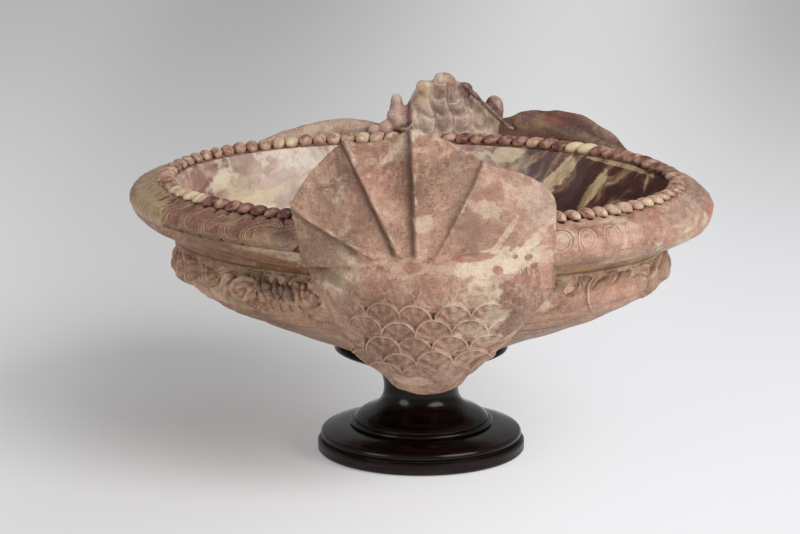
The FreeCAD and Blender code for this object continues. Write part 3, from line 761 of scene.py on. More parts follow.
# Hidden parts of the outlines, behind the mouldings and the hollow
lower_bed_shares = [
    (0.80, 0.80, 0.445), (0.835, 0.82, 0.50), (0.838, 0.80, 0.58), (0.83, 0.752, 0.64)
]
rim_bed_shares = [
    (0.985, 0.982, 0.872), (0.96, 0.955, 0.93), (0.90, 0.88, 0.985), (0.87, 0.83, 0.99),
    (0.847, 0.800, 0.99),
]
brim_lip_shares = [
    (0.84, 0.79, 0.93), (0.885, 0.85, 0.985), (0.892, 0.860, 1.000), (0.870, 0.830, 1.001),
    (0.852, 0.806, 1.001),
]
hollow_back_shares = [
    (0.03, 0.03, 0.19), (0.3, 0.3, 0.22), (0.56, 0.54, 0.32), (0.70, 0.66, 0.46),
    (0.785, 0.72, 0.65),
]
rim_back_shares = [(0.875, 0.84, 0.97), (0.90, 0.88, 0.93), (0.955, 0.95, 0.875)]
bulge_back_shares = [(0.82, 0.735, 0.64), (0.80, 0.77, 0.50), (0.73, 0.75, 0.375)]


def side_lengths(outline):
    """Distance along an outline of the bowl, measured on its broad side."""
    return way_along(outline[:, 1:] * bowl_reach[1:])


def tilt(places):
    """The whole rim hangs a little to the right."""
    places[:, 2] += (
        rim_tilt * places[:, 0] / half_length * window(level_of(places), 0.67, 0.80, 0.96, 0.99)
    )
    return places


def bowl_body():
    """The bowl itself: underside, beds of the mouldings and neck, without the hollow."""
    outline = [
        *along_curve(underside_shares, 44), *lower_bed_shares, *along_curve(neck_shares, 30),
        *rim_bed_shares,
    ]
    piece = level_rings("bowl_body", bowl_stations([(0.02, 0.03, 0.0)] + outline), 640)
    face_out(piece)
    places = places_of(piece)
    level = level_of(places)
    under = window(level, 0.08, 0.2, 0.36, 0.39)
    lines = ridge(level - 0.335 + 0.004 * swell(places, 0.12, 3), 0.006)
    lines = lines + 0.6 * ridge(level - 0.30 + 0.006 * swell(places, 0.15, 4), 0.005)
    neck = window(level, 0.67, 0.72, 0.83, 0.86)
    run = run_along_rim(places)[0]
    drawn = swell(np.stack([run * 0.12, places[:, 2], 0 * run], 1), 0.010, 6)
    depth = -0.0012 * lines * under + 0.0016 * swell(places, 0.07, 5) * under
    depth = depth + 0.0006 * neck * (drawn + swell(places, 0.04, 8))
    set_places(piece, tilt(places + normals_of(piece) * depth[:, None]))
    # Painted shade in the underside's grooves and in the seam where the bulge meets the neck; drawn
    # streaks on the neck
    seam = ridge(level - 0.664, 0.010)
    mark(piece, "carved", np.clip(-0.7 * lines * under - 0.75 * seam + 0.10 * neck * drawn, -1, 1))
    smooth(piece, 0.9)
    return piece


def bowl_hollow():
    """The polished hollow, from the brim down to its floor, with its lip under the beads."""
    stations = [
        *brim_lip_shares, *along_curve(hollow_shares, 60), *hollow_back_shares, brim_lip_shares[0]
    ]
    piece = level_rings("bowl_hollow", bowl_stations(stations), 400)
    face_out(piece)
    mark(piece, "carved", np.zeros(len(piece.data.vertices)))
    smooth(piece, 0.8)
    return piece


def moulding(name, shares, back, count, segments):
    """Closed moulding round the bowl, with every vertex's way up its face and along it."""
    outer = along_curve(shares, count)
    stations = [*outer, *back, outer[0]]
    piece = level_rings(name, bowl_stations(stations), segments)
    ring_of = np.minimum(np.arange(len(piece.data.vertices)) // segments, len(stations) - 1)
    places = places_of(piece)
    reach = np.array(stations)[ring_of, :2] * bowl_reach[:2]
    turn = np.arctan2(places[:, 1] / reach[:, 1], places[:, 0] / reach[:, 0])
    turn = turn - crowding * np.cos(turn)
    places[:, 0] = reach[:, 0] * np.cos(turn)
    places[:, 1] = reach[:, 1] * np.sin(turn)
    set_places(piece, places)
    lengths = side_lengths(outer)
    hidden = [0] * len(back)
    way = np.concatenate([lengths, [lengths[-1]] + hidden[1:], [0]])[ring_of]
    shown = np.concatenate([np.ones(len(outer)), hidden, [1]])[ring_of]
    places = places_of(piece)
    run, full = run_along_rim(places)
    normals = normals_of(piece)
    outward = places * np.array([1 / half_length, 1 / half_width, 0])
    if np.sum(np.sum(normals * outward, axis=1) * shown) < 0:
        normals = -normals
    return piece, places, normals, way, lengths[-1], run, full, shown


def coin_relief(run, way, coins, pale):
    """Overlapping coins along the rim; each lies under its neighbour nearer the tail.

    A coin is its middle along and up the rim, and its half size along and up.
    """
    height = np.zeros(len(run))
    line = np.zeros(len(run))
    share = np.full(len(run), 2.0)
    for middle, level, half_run, half_way in coins:
        far = np.hypot((run - middle) / half_run, (way - level) / half_way)
        inside = (far < 1) & (share > 1)
        edge = (
            ridge(far - 0.95, 0.045) + 0.9 * ridge(far - 0.79, 0.040)
            + 0.7 * ridge(far - 0.63, 0.040)
        )
        streaks = np.sin(far * 46 + 4 * way / half_way) * window(far, 0.1, 0.3, 0.42, 0.55)
        # Painted shadow towards the rim's bottom, where the coins curl under, and under the edge of
        # each coin; streaks in its field
        low = soft_step(-way, -0.0125, -0.0045) * pale
        height = np.where(inside, 0.0034 * far**2 + 0.0012 * edge + 0.0005 * streaks, height)
        drawn = (0.30 * streaks - 0.05) * pale - 0.32 * low - 0.35 * ridge(far - 1.0, 0.04)
        line = np.where(inside, drawn, line)
        share = np.where(inside, far, share)
    return height, line, share


def bead_slant(x, y):
    """How far the beads lean: in front their tops lean towards the tail, behind all one way."""
    behind = soft_step(y, -0.06, 0.06)
    return (
        (1 - behind) * -0.44 * np.clip(x / 0.06, -1, 1)
        + behind * (0.45 + 0.27 * soft_step(x, -0.10, 0.0))
    )


def bead_share(places):
    """Way along the row of beads, counted in beads."""
    angles = np.linspace(-math.pi, 3 * math.pi, 14401)
    length = oval_ways(bead_line_x, bead_line_y, angles)
    start = np.interp(0, angles, length)
    turn = np.arctan2(places[:, 1] / bead_line_y, places[:, 0] / bead_line_x)
    return (np.interp(turn, angles, length) - start) / (length[-1] / 2) * bead_count


def rim_coins(way, from_end, round_side):
    """Relief, lines and coin shares: round coins right of the tail, long ones everywhere else."""
    height, line, share = coin_relief(from_end + 0.12 * (way - 0.02), way, long_coin_places, 1.0)
    # Where no long coin lies, painted shade in the gaps between the coins
    line = np.where(share > 1, -0.35, line)
    coin = np.where(share > 1, 0.5, 0.45 * share)
    leaning = from_end - 0.40 * (way - 0.0195)
    round_height, round_line, share = coin_relief(leaning, way, round_coin_places, 0.0)
    round_height = np.where(share > 1, 0.0044, 0.0026 + 0.5 * round_height)
    round_coin = np.where(share > 1, 0.5, 0.55 + 0.45 * share)
    height = np.where(round_side, round_height, height)
    return height, np.where(round_side, round_line, line), np.where(round_side, round_coin, coin)


def rim_streaks(places, run, way):
    """Comb streaks for the left end of the rim and bent contour lines for the right one."""
    flat = np.stack([run, way * 0.12, 0 * run], 1)
    streak = swell(flat, 0.0062, 11) * 0.6 + swell(flat, 0.012, 12) * 0.6
    bent = np.stack([way + 0.02 * swell(places, 0.09, 14), 0.15 * run, 0 * run], 1)
    return np.where(run < 0, streak, 0.8 * swell(bent, 0.009, 13))


def drilled_holes(places, way, total):
    """Holes drilled beside the beads, one between each two, drawn out to slots at the left end."""
    x, y = places[:, 0], places[:, 1]
    across = ((bead_share(places) + bead_slant(x, y) * 0.62) % 1 - 0.5) * bead_pitch
    size = 0.0028 * (1 - 0.45 * soft_step(np.abs(x), 0.25, 0.30))
    slot = 1 + 1.8 * soft_step(-x, 0.27, 0.30)
    return np.exp(-((across / size) ** 2 + ((way - (total - 0.0048 * slot)) / (size * slot)) ** 2))


def rim_moulding():
    """The rolled rim: overlapping coins, streaked ends, and holes drilled beside the beads."""
    piece, places, normals, way, total, run, full, shown = moulding(
        "rim_moulding", rim_shares, rim_back_shares, 44, 1700
    )
    side = np.abs(run)
    tail_side = side < full / 4
    from_end = np.where(tail_side, side, full / 2 - side)
    left = run < 0
    round_side = ~left & tail_side
    height, line, coin = rim_coins(way, from_end, round_side)
    end_share = soft_step(np.abs(places[:, 0]), 0.286, 0.306)
    fade = np.where(round_side, 1 - soft_step(from_end, 0.285, 0.330), 1.0) * (1 - end_share)
    band = window(way, 0.0, 0.0022, 0.0455, 0.0485)
    marks = rim_streaks(places, run, way)
    bare = np.maximum(end_share, np.where(round_side, 1 - fade, 0))
    hole = drilled_holes(places, way, total)
    depth = (
        (-0.0050 + height * fade + 0.0049 * (1 - fade)) * band + 0.0006 * (marks - 1) * bare * band
    )
    depth = depth - 0.0060 * hole + 0.0005 * swell(places, 0.03, 21) * (1 - end_share)
    places = places + normals * (np.minimum(depth, 0.0) * shown)[:, None]
    places[:, 2] += 0.0042 * soft_step(way, 0.035, 0.0465) * shown * (1 - 0.35 * hole)
    set_places(piece, tilt(places))
    collar = ridge(way - 0.0425, 0.0016) * (1 - end_share) * round_side
    # Painted shade: black in the drilled holes, and a dark line along the rim's bottom crease,
    # stronger on the left; a thin dark collar line on the right
    carved = line * band * fade - 2.6 * hole - 0.22 * collar
    carved = carved + np.where(left, 0.16, 0.34) * marks * bare * soft_step(way, 0.0, 0.004)
    carved = carved - np.where(left, 0.55, 0.10) * ridge(way, 0.0022) * (1 - end_share)
    mark(piece, "rim_run", run)
    mark(piece, "coin", np.where((fade * band > 0.5) & (shown > 0.5), coin, 0.5))
    mark(piece, "carved", np.clip(carved, -1, 1) * shown)
    face_out(piece)
    smooth(piece, 1.2)
    return piece


def cloud_hem(run, full, flat):
    """Lower edge of the row of clouds under the neck, as a way down from it."""
    side = np.abs(run)
    from_end = np.where(side < full / 4, side, full / 2 - side)
    wave = np.abs(np.sin(math.pi * (from_end + 0.002 * swell(flat, 0.06, 30) - 0.2546) / 0.046))
    return 0.0015 + 0.0115 * (1 - wave**0.6)


def wavy_folds(way):
    """Round backs with sharp valleys: minus one on the backs, one in the valleys."""
    return 1 - 2 * np.abs(np.sin(way)) ** 0.6


def carve_scrolls(run, way, depth, line, leaf):
    """Spiral scrolls, each in a round field that is sunk into what is there; their rings are drawn
    lighter and darker with the relief, and a painted shadow rings the sunk field's edge.
    """
    for centre, level, size in scroll_places:
        far = np.hypot(run - centre, way - level) / size
        rings = np.cos(far * 12.5 + np.arctan2(way - level, run - centre))
        inside = 1 - soft_step(far, 0.92, 1.0)
        depth = depth * (1 - inside) + inside * (-0.0018 + 0.0011 * rings - 0.0012 * far)
        line = (
            line * (1 - inside) + inside * (0.26 * rings - 0.14 + 0.25 * leaf)
            - 0.6 * ridge(far - 1.02, 0.07)
        )
    return depth, line


def lower_moulding():
    """The full bulge below the neck, carved with folded leaves, scrolls and clouds."""
    piece, places, normals, way, total, run, full, shown = moulding(
        "lower_moulding", bulge_shares, bulge_back_shares, 60, 1400
    )
    run = run * bulge_run_share
    flat = np.stack([run, way, 0 * run], 1)
    right = soft_step(run, -0.05, 0.05)
    lean = np.where(run < 0, 1, -1)
    busy = 0.35 + 0.65 * (1 - right)

    # Clouds under the neck, and what lies below their hem
    down = total - way
    hem = cloud_hem(run, full * bulge_run_share, flat)
    below = soft_step(down, hem, hem + 0.0025)
    ledge = 0.0050 * (0.25 + 0.75 * right)

    # Folded leaves, calmed where the stone is left bare on the right
    bare = window(run, 0.185, 0.205, 0.30, 0.33) * window(way, 0.012, 0.018, 0.050, 0.062)
    bend = 0.35 + 0.9 * np.sin(run / 0.023 + 1.3 * lean)
    leaf = np.sin((run * lean + bend * way * 0.8 + 0.004 * swell(flat, 0.03, 34)) / 0.0019)
    leaf_zone = (
        soft_step(swell(flat, 0.085, 32) + 0.6 * (1 - right), 0.0, 0.7)
        * soft_step(way, 0.022, 0.032)
    )
    leaf_zone = leaf_zone * (1 - bare)
    fold_way = run * lean + 0.30 * way + 0.014 * swell(flat, 0.07, 35) + 0.006 * np.sin(way / 0.009)
    folds = wavy_folds(fold_way / 0.0115) * (1 - 0.8 * bare) - 0.3 * bare
    small = (
        wavy_folds((run * lean * 0.6 - 0.8 * way + 0.010 * swell(flat, 0.045, 42)) / 0.0062)
        * (1 - bare)
    )

    # Short upright strokes beside the tail
    strokes = window(run, -0.212, -0.195, -0.135, -0.118) * window(way, 0.032, 0.040, 0.066, 0.074)
    stroke = (
        1 - 2 * np.abs(np.sin((run + 0.55 * way + 0.0035 * swell(flat, 0.02, 40)) / 0.0042)) ** 0.7
    )

    relief = -0.0052 + 0.0018 * swell(flat, 0.034, 33) - 0.0028 * folds - 0.0012 * small * busy
    relief = relief + 0.0006 * leaf * leaf_zone - 0.0020 * stroke * strokes
    depth = -ledge * (1 - below) + below * relief
    # Painted shadow under the clouds' hem, stronger on the right
    line = -1.2 * ridge(down - hem + 0.0004, 0.0022) * (0.4 + 0.6 * right)
    # Pale leaf lines, and painted shade in the valleys of the folds
    drawn = (
        0.34 * leaf * leaf_zone * (1 - strokes)
        - (0.55 + 0.45 * busy) * soft_step(folds, 0.25, 0.95)
    )
    # Painted highlight on the backs of the folds, and painted highlight and shade on the small
    # folds
    line = line + below * (drawn + (0.10 + 0.18 * right) * soft_step(-folds, 0.4, 0.9))
    line = (
        line
        + below * busy * (0.10 * soft_step(-small, 0.3, 0.9) - 0.50 * soft_step(small, 0.4, 0.95))
    )
    # Painted shade in the stroke grooves and painted highlight on their ridges
    line = line - strokes * (0.25 + 0.75 * soft_step(stroke, 0.0, 0.9))
    line = line + 0.25 * strokes * soft_step(-stroke, 0.5, 0.95)
    depth, line = carve_scrolls(run, way, depth, line, leaf)

    # A short row of scallops, and the curl of the large fold on the right
    scallop_zone = (
        window(run, -0.185, -0.175, -0.125, -0.115) * window(way, 0.019, 0.023, 0.033, 0.037)
    )
    line = line * (1 - scallop_zone) + scallop_zone * (0.9 * np.abs(np.sin(run / 0.0042)) - 0.7)
    curl = np.where(run > 0, run - 0.2235 - 27 * (way - 0.042) ** 2, 1.0)
    fold_line = ridge(curl, 0.0028) * soft_step(way, 0.010, 0.014)
    depth = depth + 0.0016 * ridge(curl - 0.0035, 0.0022) * below

    # Plain band with long lines at the bottom, and the lip in it
    plain = soft_step(0.013 + 0.008 * right + 0.004 * swell(flat, 0.07, 36) - way, 0.0, 0.006)
    long_lines = np.sin((way + 0.003 * swell(flat, 0.12, 37)) / 0.0009)
    depth = depth * (1 - plain) + plain * (-0.0016 + 0.00030 * long_lines)
    line = line * (1 - plain) + plain * 0.18 * long_lines
    lip = ridge(way - 0.0065 - 0.0008 * swell(flat, 0.1, 38), 0.0012)
    depth = depth - 0.0018 * lip - 0.0014 * fold_line
    engraved = np.sin((run * lean * 0.8 + 0.6 * way + 0.016 * swell(flat, 0.05, 47)) / 0.0011)
    line = line - 0.22 * soft_step(engraved, 0.35, 0.95) * below * (1 - plain) * (0.4 + 0.6 * busy)
    # Painted shade in the lip's groove and in the large fold's groove, and painted highlight on the
    # raised line beside it
    line = line - 0.9 * lip * (0.55 + 0.45 * swell(flat, 0.16, 39))
    line = line - 0.22 * fold_line + 0.85 * ridge(curl - 0.0038, 0.0014) * below

    ends = soft_step(way, 0, 0.005)
    set_places(piece, places + normals * (np.minimum(depth, 0) * ends * shown)[:, None])
    mark(piece, "carved", np.clip(line, -1, 1) * ends * shown)
    face_out(piece)
    smooth(piece, 1.2)
    return piece


# ---- Beads ----


def bead_strip():
    """The flat strip along the brim that carries the beads."""
    stations = [
        (bead_line_x + out, bead_line_y + out, rim_z + up, 0, 0) for out, up in strip_section
    ]
    strip = level_rings("bead_strip", stations, 360)
    face_out(strip)
    # The whole strip is marked darker: painted shade under the beads
    mark(strip, "carved", np.full(len(strip.data.vertices), -0.45))
    smooth(strip, 0.9)
    mark(strip, "bead_tone", np.full(len(strip.data.vertices), 0.3))
    return strip


def first_bead():
    """One egg-shaped bead at the origin, with its long way across the row."""
    clear_selection()
    bpy.ops.mesh.primitive_uv_sphere_add(
        segments=28, ring_count=16, radius=bead_radius, location=(0, 0, 0)
    )
    bead = name_piece("bead_row")
    begin_edit()
    bpy.ops.transform.resize(value=(1.12, 1.30, 0.92), center_override=(0, 0, 0))
    end_edit()
    smooth(bead)
    return bead


def bead_row():
    """The strip along the brim and its beads, each a little different."""
    strip = bead_strip()
    first = first_bead()
    angles = np.linspace(0, 2 * math.pi, 7201)
    length = oval_ways(bead_line_x, bead_line_y, angles)
    chance = np.random.default_rng(5)
    beads = []
    for index in range(bead_count):
        turn = float(np.interp(length[-1] * index / bead_count, length, angles))
        place = (bead_line_x * math.cos(turn), bead_line_y * math.sin(turn), rim_z + bead_stand)
        facing = math.atan2(bead_line_y * math.cos(turn), -bead_line_x * math.sin(turn))
        bead = first.copy()
        bead.data = first.data.copy()
        bpy.context.collection.objects.link(bead)
        shape = places_of(bead)
        at_end = float(soft_step(np.array(abs(place[0])), 0.24, 0.30))
        near = place[1] < 0
        length_share = (0.84 if near else 1.0) * (1 + chance.uniform(-0.06, 0.03))
        width_share = 1 + chance.uniform(-0.06, 0.04)
        height_share = (
            (1.15 if near else 1.0) * (1 + chance.uniform(-0.08, 0.04)) * (1 - 0.22 * at_end)
        )
        shape = shape * np.array([length_share, width_share, height_share])
        combed = np.cos(shape[:, 0] * 1150 + shape[:, 1] * 300)
        shape[:, 2] = np.where(
            shape[:, 2] > 0, shape[:, 2] * (1 + 0.09 * at_end * combed), shape[:, 2]
        )
        slant = float(bead_slant(np.array(place[0]), np.array(place[1])))
        shape[:, 0] += slant * shape[:, 1] * chance.uniform(0.68, 0.85)
        cosine, sine = math.cos(facing), math.sin(facing)
        turned_x = shape[:, 0] * cosine - shape[:, 1] * sine
        turned_y = shape[:, 0] * sine + shape[:, 1] * cosine
        lift = np.array([0, 0, chance.uniform(-0.0004, 0.0004)])
        set_places(bead, np.stack([turned_x, turned_y, shape[:, 2]], 1) + np.array(place) + lift)
        # Painted shade under each bead and in the gaps between them, stronger on their outer side,
        # and in the comb grooves of the end beads
        gap = soft_step(np.abs(shape[:, 0] - 0.77 * slant * shape[:, 1]), 0.0066, 0.0084)
        low = soft_step(-shape[:, 2], -0.0016, 0.0030)
        outer = 0.45 + 0.55 * soft_step(-shape[:, 1], -0.002, 0.002)
        carved = (
            -0.95 * low * outer - 0.95 * gap * outer - 0.45 * at_end * soft_step(-combed, 0.0, 0.9)
        )
        mark(bead, "carved", np.clip(carved, -1, 1))
        mark(bead, "bead_tone", np.full(len(shape), bead_tone(place[0], place[1], chance)))
        beads.append(bead)
    bpy.data.objects.remove(first)
    return join("bead_row", [strip] + beads)


def bead_tone(x, y, chance):
    """How pale one bead is, from dark red at nought to cream at one."""
    if abs(x) > 0.285:
        slow = 0.52
    elif y > 0 and (0.174 < x < 0.205 or -0.190 < x < -0.160):
        slow = 0.95
    elif y > 0 and x < -0.05:
        slow = 0.60
    elif y > 0:
        slow = 0.34
    elif x < -0.242:
        slow = 0.80
    elif x < -0.10:
        slow = 0.22
    elif x > 0.10:
        slow = 0.66
    else:
        slow = 0.42 + 0.20 * math.sin(x / 0.031 + 2.0) * math.sin(y / 0.05 + x / 0.11)
    return min(1.0, max(0.0, slow + chance.uniform(-0.14, 0.14)))


# ---- Tail ----

# Height, place across, width, and how far the front and the back stand out
tail_body_shares = [
    (0.000, 0.000, 0.170, 0.715, 1.27),
    (0.030, 0.000, 0.270, 0.752, 1.15),
    (0.094, -0.006, 0.332, 0.788, 1.06),
    (0.153, -0.006, 0.435, 0.832, 1.00),
    (0.261, -0.010, 0.575, 0.902, 1.00),
    (0.345, 0.000, 0.660, 0.939, 1.00),
    (0.507, 0.052, 0.781, 0.980, 1.00),
    (0.635, 0.071, 0.903, 0.997, 1.00),
    (0.745, 0.052, 0.945, 0.997, 1.00),
    (0.830, 0.045, 0.900, 0.975, 1.00),
    (0.900, 0.060, 0.700, 0.945, 1.00),
    (0.950, 0.070, 0.400, 0.910, 1.00),
]

# Root and tip of each rib of the fan, across and up from the middle of the rim
fan_rib_shares = [
    ((-0.360, -0.260), (-0.890, -0.310)),
    ((-0.330, -0.180), (-0.994, 0.240)),
    ((-0.142, -0.165), (-0.568, 0.868)),
    ((-0.013, -0.160), (-0.058, 1.000)),
    ((0.135, -0.165), (0.477, 0.667)),
    ((0.226, -0.180), (0.994, 0.264)),
    ((0.260, -0.260), (0.981, -0.512)),
]

# For each panel between two ribs: how far its edge bulges out, or is cut in where negative
fan_edge_bulge_shares = [0.0, 0.045, -0.055, 0.050, 0.115, 0.0]

# For each panel: depth of its pleat, then place, width and strength of the painted shade
# beside its rib, on the side turned from the light
panel_pleats = [
    (0.7, 0.0062, 0.0036, 1.0),
    (1.0, 0.0062, 0.0036, 1.0),
    (1.0, 0.0062, 0.0036, 0.9),
    (0.7, 0.0030, 0.0022, 0.75),
    (0.75, 0.0062, 0.0036, 0.3),
    (0.2, 0.0062, 0.0036, 0.0),
]
rib_heights = [1.0, 1.0, 0.95, 0.85]


def fan_place(spot):
    """Place along x and z of a spot given in shares of the tail's half width and rise."""
    return np.stack(
        [tail_offset + tail_half_width * spot[..., 0], rim_z + tail_rise * spot[..., 1]]
    )


def fan_flat(share_across, share_out):
    """Place on the fan, seen from the front, for shares across its ribs and out from its root."""
    panels = len(fan_rib_shares) - 1
    panel = np.minimum((share_across * panels).astype(int), panels - 1)
    share = share_across * panels - panel
    ribs = np.array(fan_rib_shares)
    bulge = np.array(fan_edge_bulge_shares)[panel]
    root = ribs[panel, 0] + (ribs[panel + 1, 0] - ribs[panel, 0]) * share[:, None]
    tip = ribs[panel, 1] + (ribs[panel + 1, 1] - ribs[panel, 1]) * share[:, None]
    hump = 4 * share * (1 - share) * bulge
    tip = tip + np.where((bulge > 0)[:, None], tip * hump[:, None], np.stack([0 * hump, hump], 1))
    return fan_place(root + (tip - root) * share_out[:, None])


def rib_ways(x, z):
    """For each rib: how far to its right a place lies, how far along it, and its length."""
    ways = []
    for root, tip in np.array(fan_rib_shares):
        start = fan_place(root)
        length = np.linalg.norm(fan_place(tip) - start)
        way = (fan_place(tip) - start) / length
        across = (x - start[0]) * way[1] - (z - start[1]) * way[0]
        along = (x - start[0]) * way[0] + (z - start[1]) * way[1]
        ways.append((across, along, length))
    return ways


def pleats(x, z):
    """Depth of the fan's pleats, height of its ribs, painted shade beside them and their tips."""
    depth = np.zeros(len(x))
    crest = np.zeros(len(x))
    shade = np.zeros(len(x))
    tips = np.zeros(len(x))
    ways = rib_ways(x, z)
    for index, (deep, line_place, line_width, painted_shade_share) in enumerate(panel_pleats):
        first, first_along, length = ways[index]
        second, second_along, length = ways[index + 1]
        inside = (first >= 0) & (second < 0) & ((first_along > -0.01) | (second_along > -0.01))
        share = np.where(inside, first / np.maximum(first - second, 1e-9), 0)
        gap = -second
        curve = (
            np.sin(np.minimum(share / 0.80, 1) * math.pi / 2) ** 1.3
            * soft_step(gap, 0.0008, 0.0080)
        )
        depth = np.where(inside, deep * curve, depth)
        # Painted shade: a dark line beside the next rib and a soft band leading up to it, on the
        # flank turned from the light
        dark = 0.85 * ridge(gap - line_place, line_width)
        dark = dark + 0.50 * soft_step(-gap, -0.022, -0.004) * soft_step(gap, 0.001, 0.004)
        shade = np.where(inside, deep * dark * painted_shade_share, shade)
    for index, high in enumerate(rib_heights, 1):
        across, along, length = ways[index]
        tips = np.maximum(
            tips, ridge(across, 0.0055) * soft_step(along, length - 0.024, length - 0.002)
        )
        width = 0.0028 + 0.0008 * np.sin(along / 0.011 + index)
        crest = np.maximum(
            crest, ridge(across + 0.0004, width) * soft_step(along, -0.004, 0.012) * high
        )
    out = np.hypot((x - tail_offset) / tail_half_width, (z - rim_z) / tail_rise + 0.2) / 1.15
    return depth * (0.35 + 0.65 * np.clip(out, 0, 1)), crest, shade, tips


def scales(x, z):
    """Rows of overlapping scales with their round ends up: height, and lines: a pale edge, partly
    painted highlight, a dark line inside it, lighter and darker grooves, and painted shadow beyond
    the edge and in the low middle.
    """
    height = np.zeros(len(x))
    line = np.zeros(len(x))
    taken = np.zeros(len(x), bool)
    bottom = seat_z + 0.14 * bowl_height
    rows = int(round((seat_z + 0.78 * bowl_height - bottom) / scale_rise)) + 1
    chance = np.random.default_rng(7)
    for row in range(rows):
        level = bottom + row * scale_rise
        shift = (row % 2) * scale_pitch / 2
        for index in range(-6, 7):
            centre_x = (
                tail_offset - 0.003 + shift + index * scale_pitch + chance.uniform(-0.0035, 0.0035)
            )
            centre_z = level + chance.uniform(-0.0030, 0.0030)
            far = np.hypot((x - centre_x) / scale_radius, (z - centre_z) / (scale_radius * 0.94))
            inside = (far < 1) & (z > centre_z - 0.012) & ~taken
            angle = np.arctan2(x - centre_x, z - centre_z + 0.009)
            grooves = np.cos(angle * 11) * window(far, 0.15, 0.45, 0.8, 0.93)
            edge = ridge(far - 0.94, 0.050)
            relief = scale_height * soft_step(far, 0.2, 1.0) + 0.0014 * edge + 0.0009 * grooves
            height = np.where(inside, relief, height)
            drawn = (
                chance.uniform(0.35, 0.75) * edge - 0.45 * ridge(far - 0.84, 0.045) + 0.32 * grooves
            )
            drawn = drawn - 1.0 * ridge(far - 1.03, 0.035) - 0.25 * soft_step(-far, -0.5, -0.1)
            line = np.where(inside, drawn, line)
            # Painted shadow on the stone just beyond each scale's edge
            rim = -0.9 * ridge(far - 1.06, 0.05) * (z > centre_z - 0.010)
            line = np.where(~inside & ~taken, np.minimum(line, rim), line)
            taken |= inside
    return height, line


def outside_bowl(places, sunk):
    """Brings places that lie deep in the bowl out to just under its surface."""
    outline = np.array(underside_shares + bulge_shares[1:] + neck_shares[1:] + rim_shares[1:4])
    level = level_of(places)
    across = np.interp(level, outline[:, 2], outline[:, 0]) * half_length - sunk
    along = np.interp(level, outline[:, 2], outline[:, 1]) * half_width - sunk
    far = np.hypot(places[:, 0] / across, places[:, 1] / along)
    inside = (far < 1) & (level < 1.0)
    grow = np.where(inside, 1 / np.maximum(far, 1e-6), 1)
    moved = places.copy()
    moved[:, :2] *= grow[:, None]
    return moved


def divide_faces(piece, wanted):
    """Cuts the faces whose middles are wanted into four, so that fine carving fits on them."""
    pick(piece)
    bpy.ops.object.mode_set(mode="EDIT")
    bpy.ops.mesh.select_mode(type="FACE")
    bpy.ops.mesh.select_all(action="DESELECT")
    end_edit()
    faces = piece.data.polygons
    faces.foreach_set("select", wanted(vectors_of(faces, "center"), vectors_of(faces, "normal")))
    bpy.ops.object.mode_set(mode="EDIT")
    bpy.ops.mesh.subdivide(number_cuts=1, smoothness=0.0)
    bpy.ops.mesh.select_mode(type="VERT")
    end_edit()


def scaled_or_ribbed(places, normals):
    """The faces that carry the scales and the ribs of the fan."""
    x, z = places[:, 0], places[:, 2]
    scaled = (
        (z < seat_z + 0.80 * bowl_height) & (normals[:, 1] < 0.05)
        & (np.abs(x - tail_offset) < 0.70 * tail_half_width)
    )
    near = np.min([np.abs(ways[0]) for ways in rib_ways(x, z)[1:5]], axis=0)
    ribbed = (z > rim_z - 0.03) & (normals[:, 1] < 0.2) & (near < 0.0115)
    return scaled | ribbed


def tail_body():
    """The thick lower part of the tail."""
    reach = half_width + tail_projection
    shares = np.array(tail_body_shares)
    fine = np.linspace(0, len(shares) - 1, 40)
    stations = []
    columns = [np.interp(fine, np.arange(len(shares)), column) for column in shares.T]
    for level, across, width, front, back in zip(*columns):
        front_y = -reach * front
        back_y = -tail_back_line * back
        middle_x = tail_offset + across * tail_half_width
        height = seat_z + level * bowl_height
        stations.append(
            (
                width * tail_half_width, (back_y - front_y) / 2, height, middle_x,
                (front_y + back_y) / 2,
            )
        )
    return close_ends(level_rings("tail_body", stations, 160))


def tail_fan():
    """The fan as a flat sheet, bent round the rim and given its thickness."""
    clear_selection()
    bpy.ops.mesh.primitive_grid_add(
        x_subdivisions=150, y_subdivisions=60, size=2, location=(0, 0, 0)
    )
    fan = name_piece("fan")
    flat = places_of(fan)
    share_across = np.clip((flat[:, 0] + 1) / 2, 0, 1 - 1e-9)
    share_out = (flat[:, 1] + 1) / 2
    x, z = fan_flat(share_across, share_out)
    stand = fan_root_stand + (fan_tip_stand - fan_root_stand) * share_out
    inward = (0.013 - 0.0055 * share_out) / 2
    set_places(fan, np.stack([x, -(rim_line(x) + stand - inward), z], 1))
    pick(fan)
    begin_edit()
    bpy.ops.mesh.normals_make_consistent(inside=False)
    end_edit()
    apply_modifier(fan, "SOLIDIFY", thickness=0.0085, offset=0.0)
    return fan


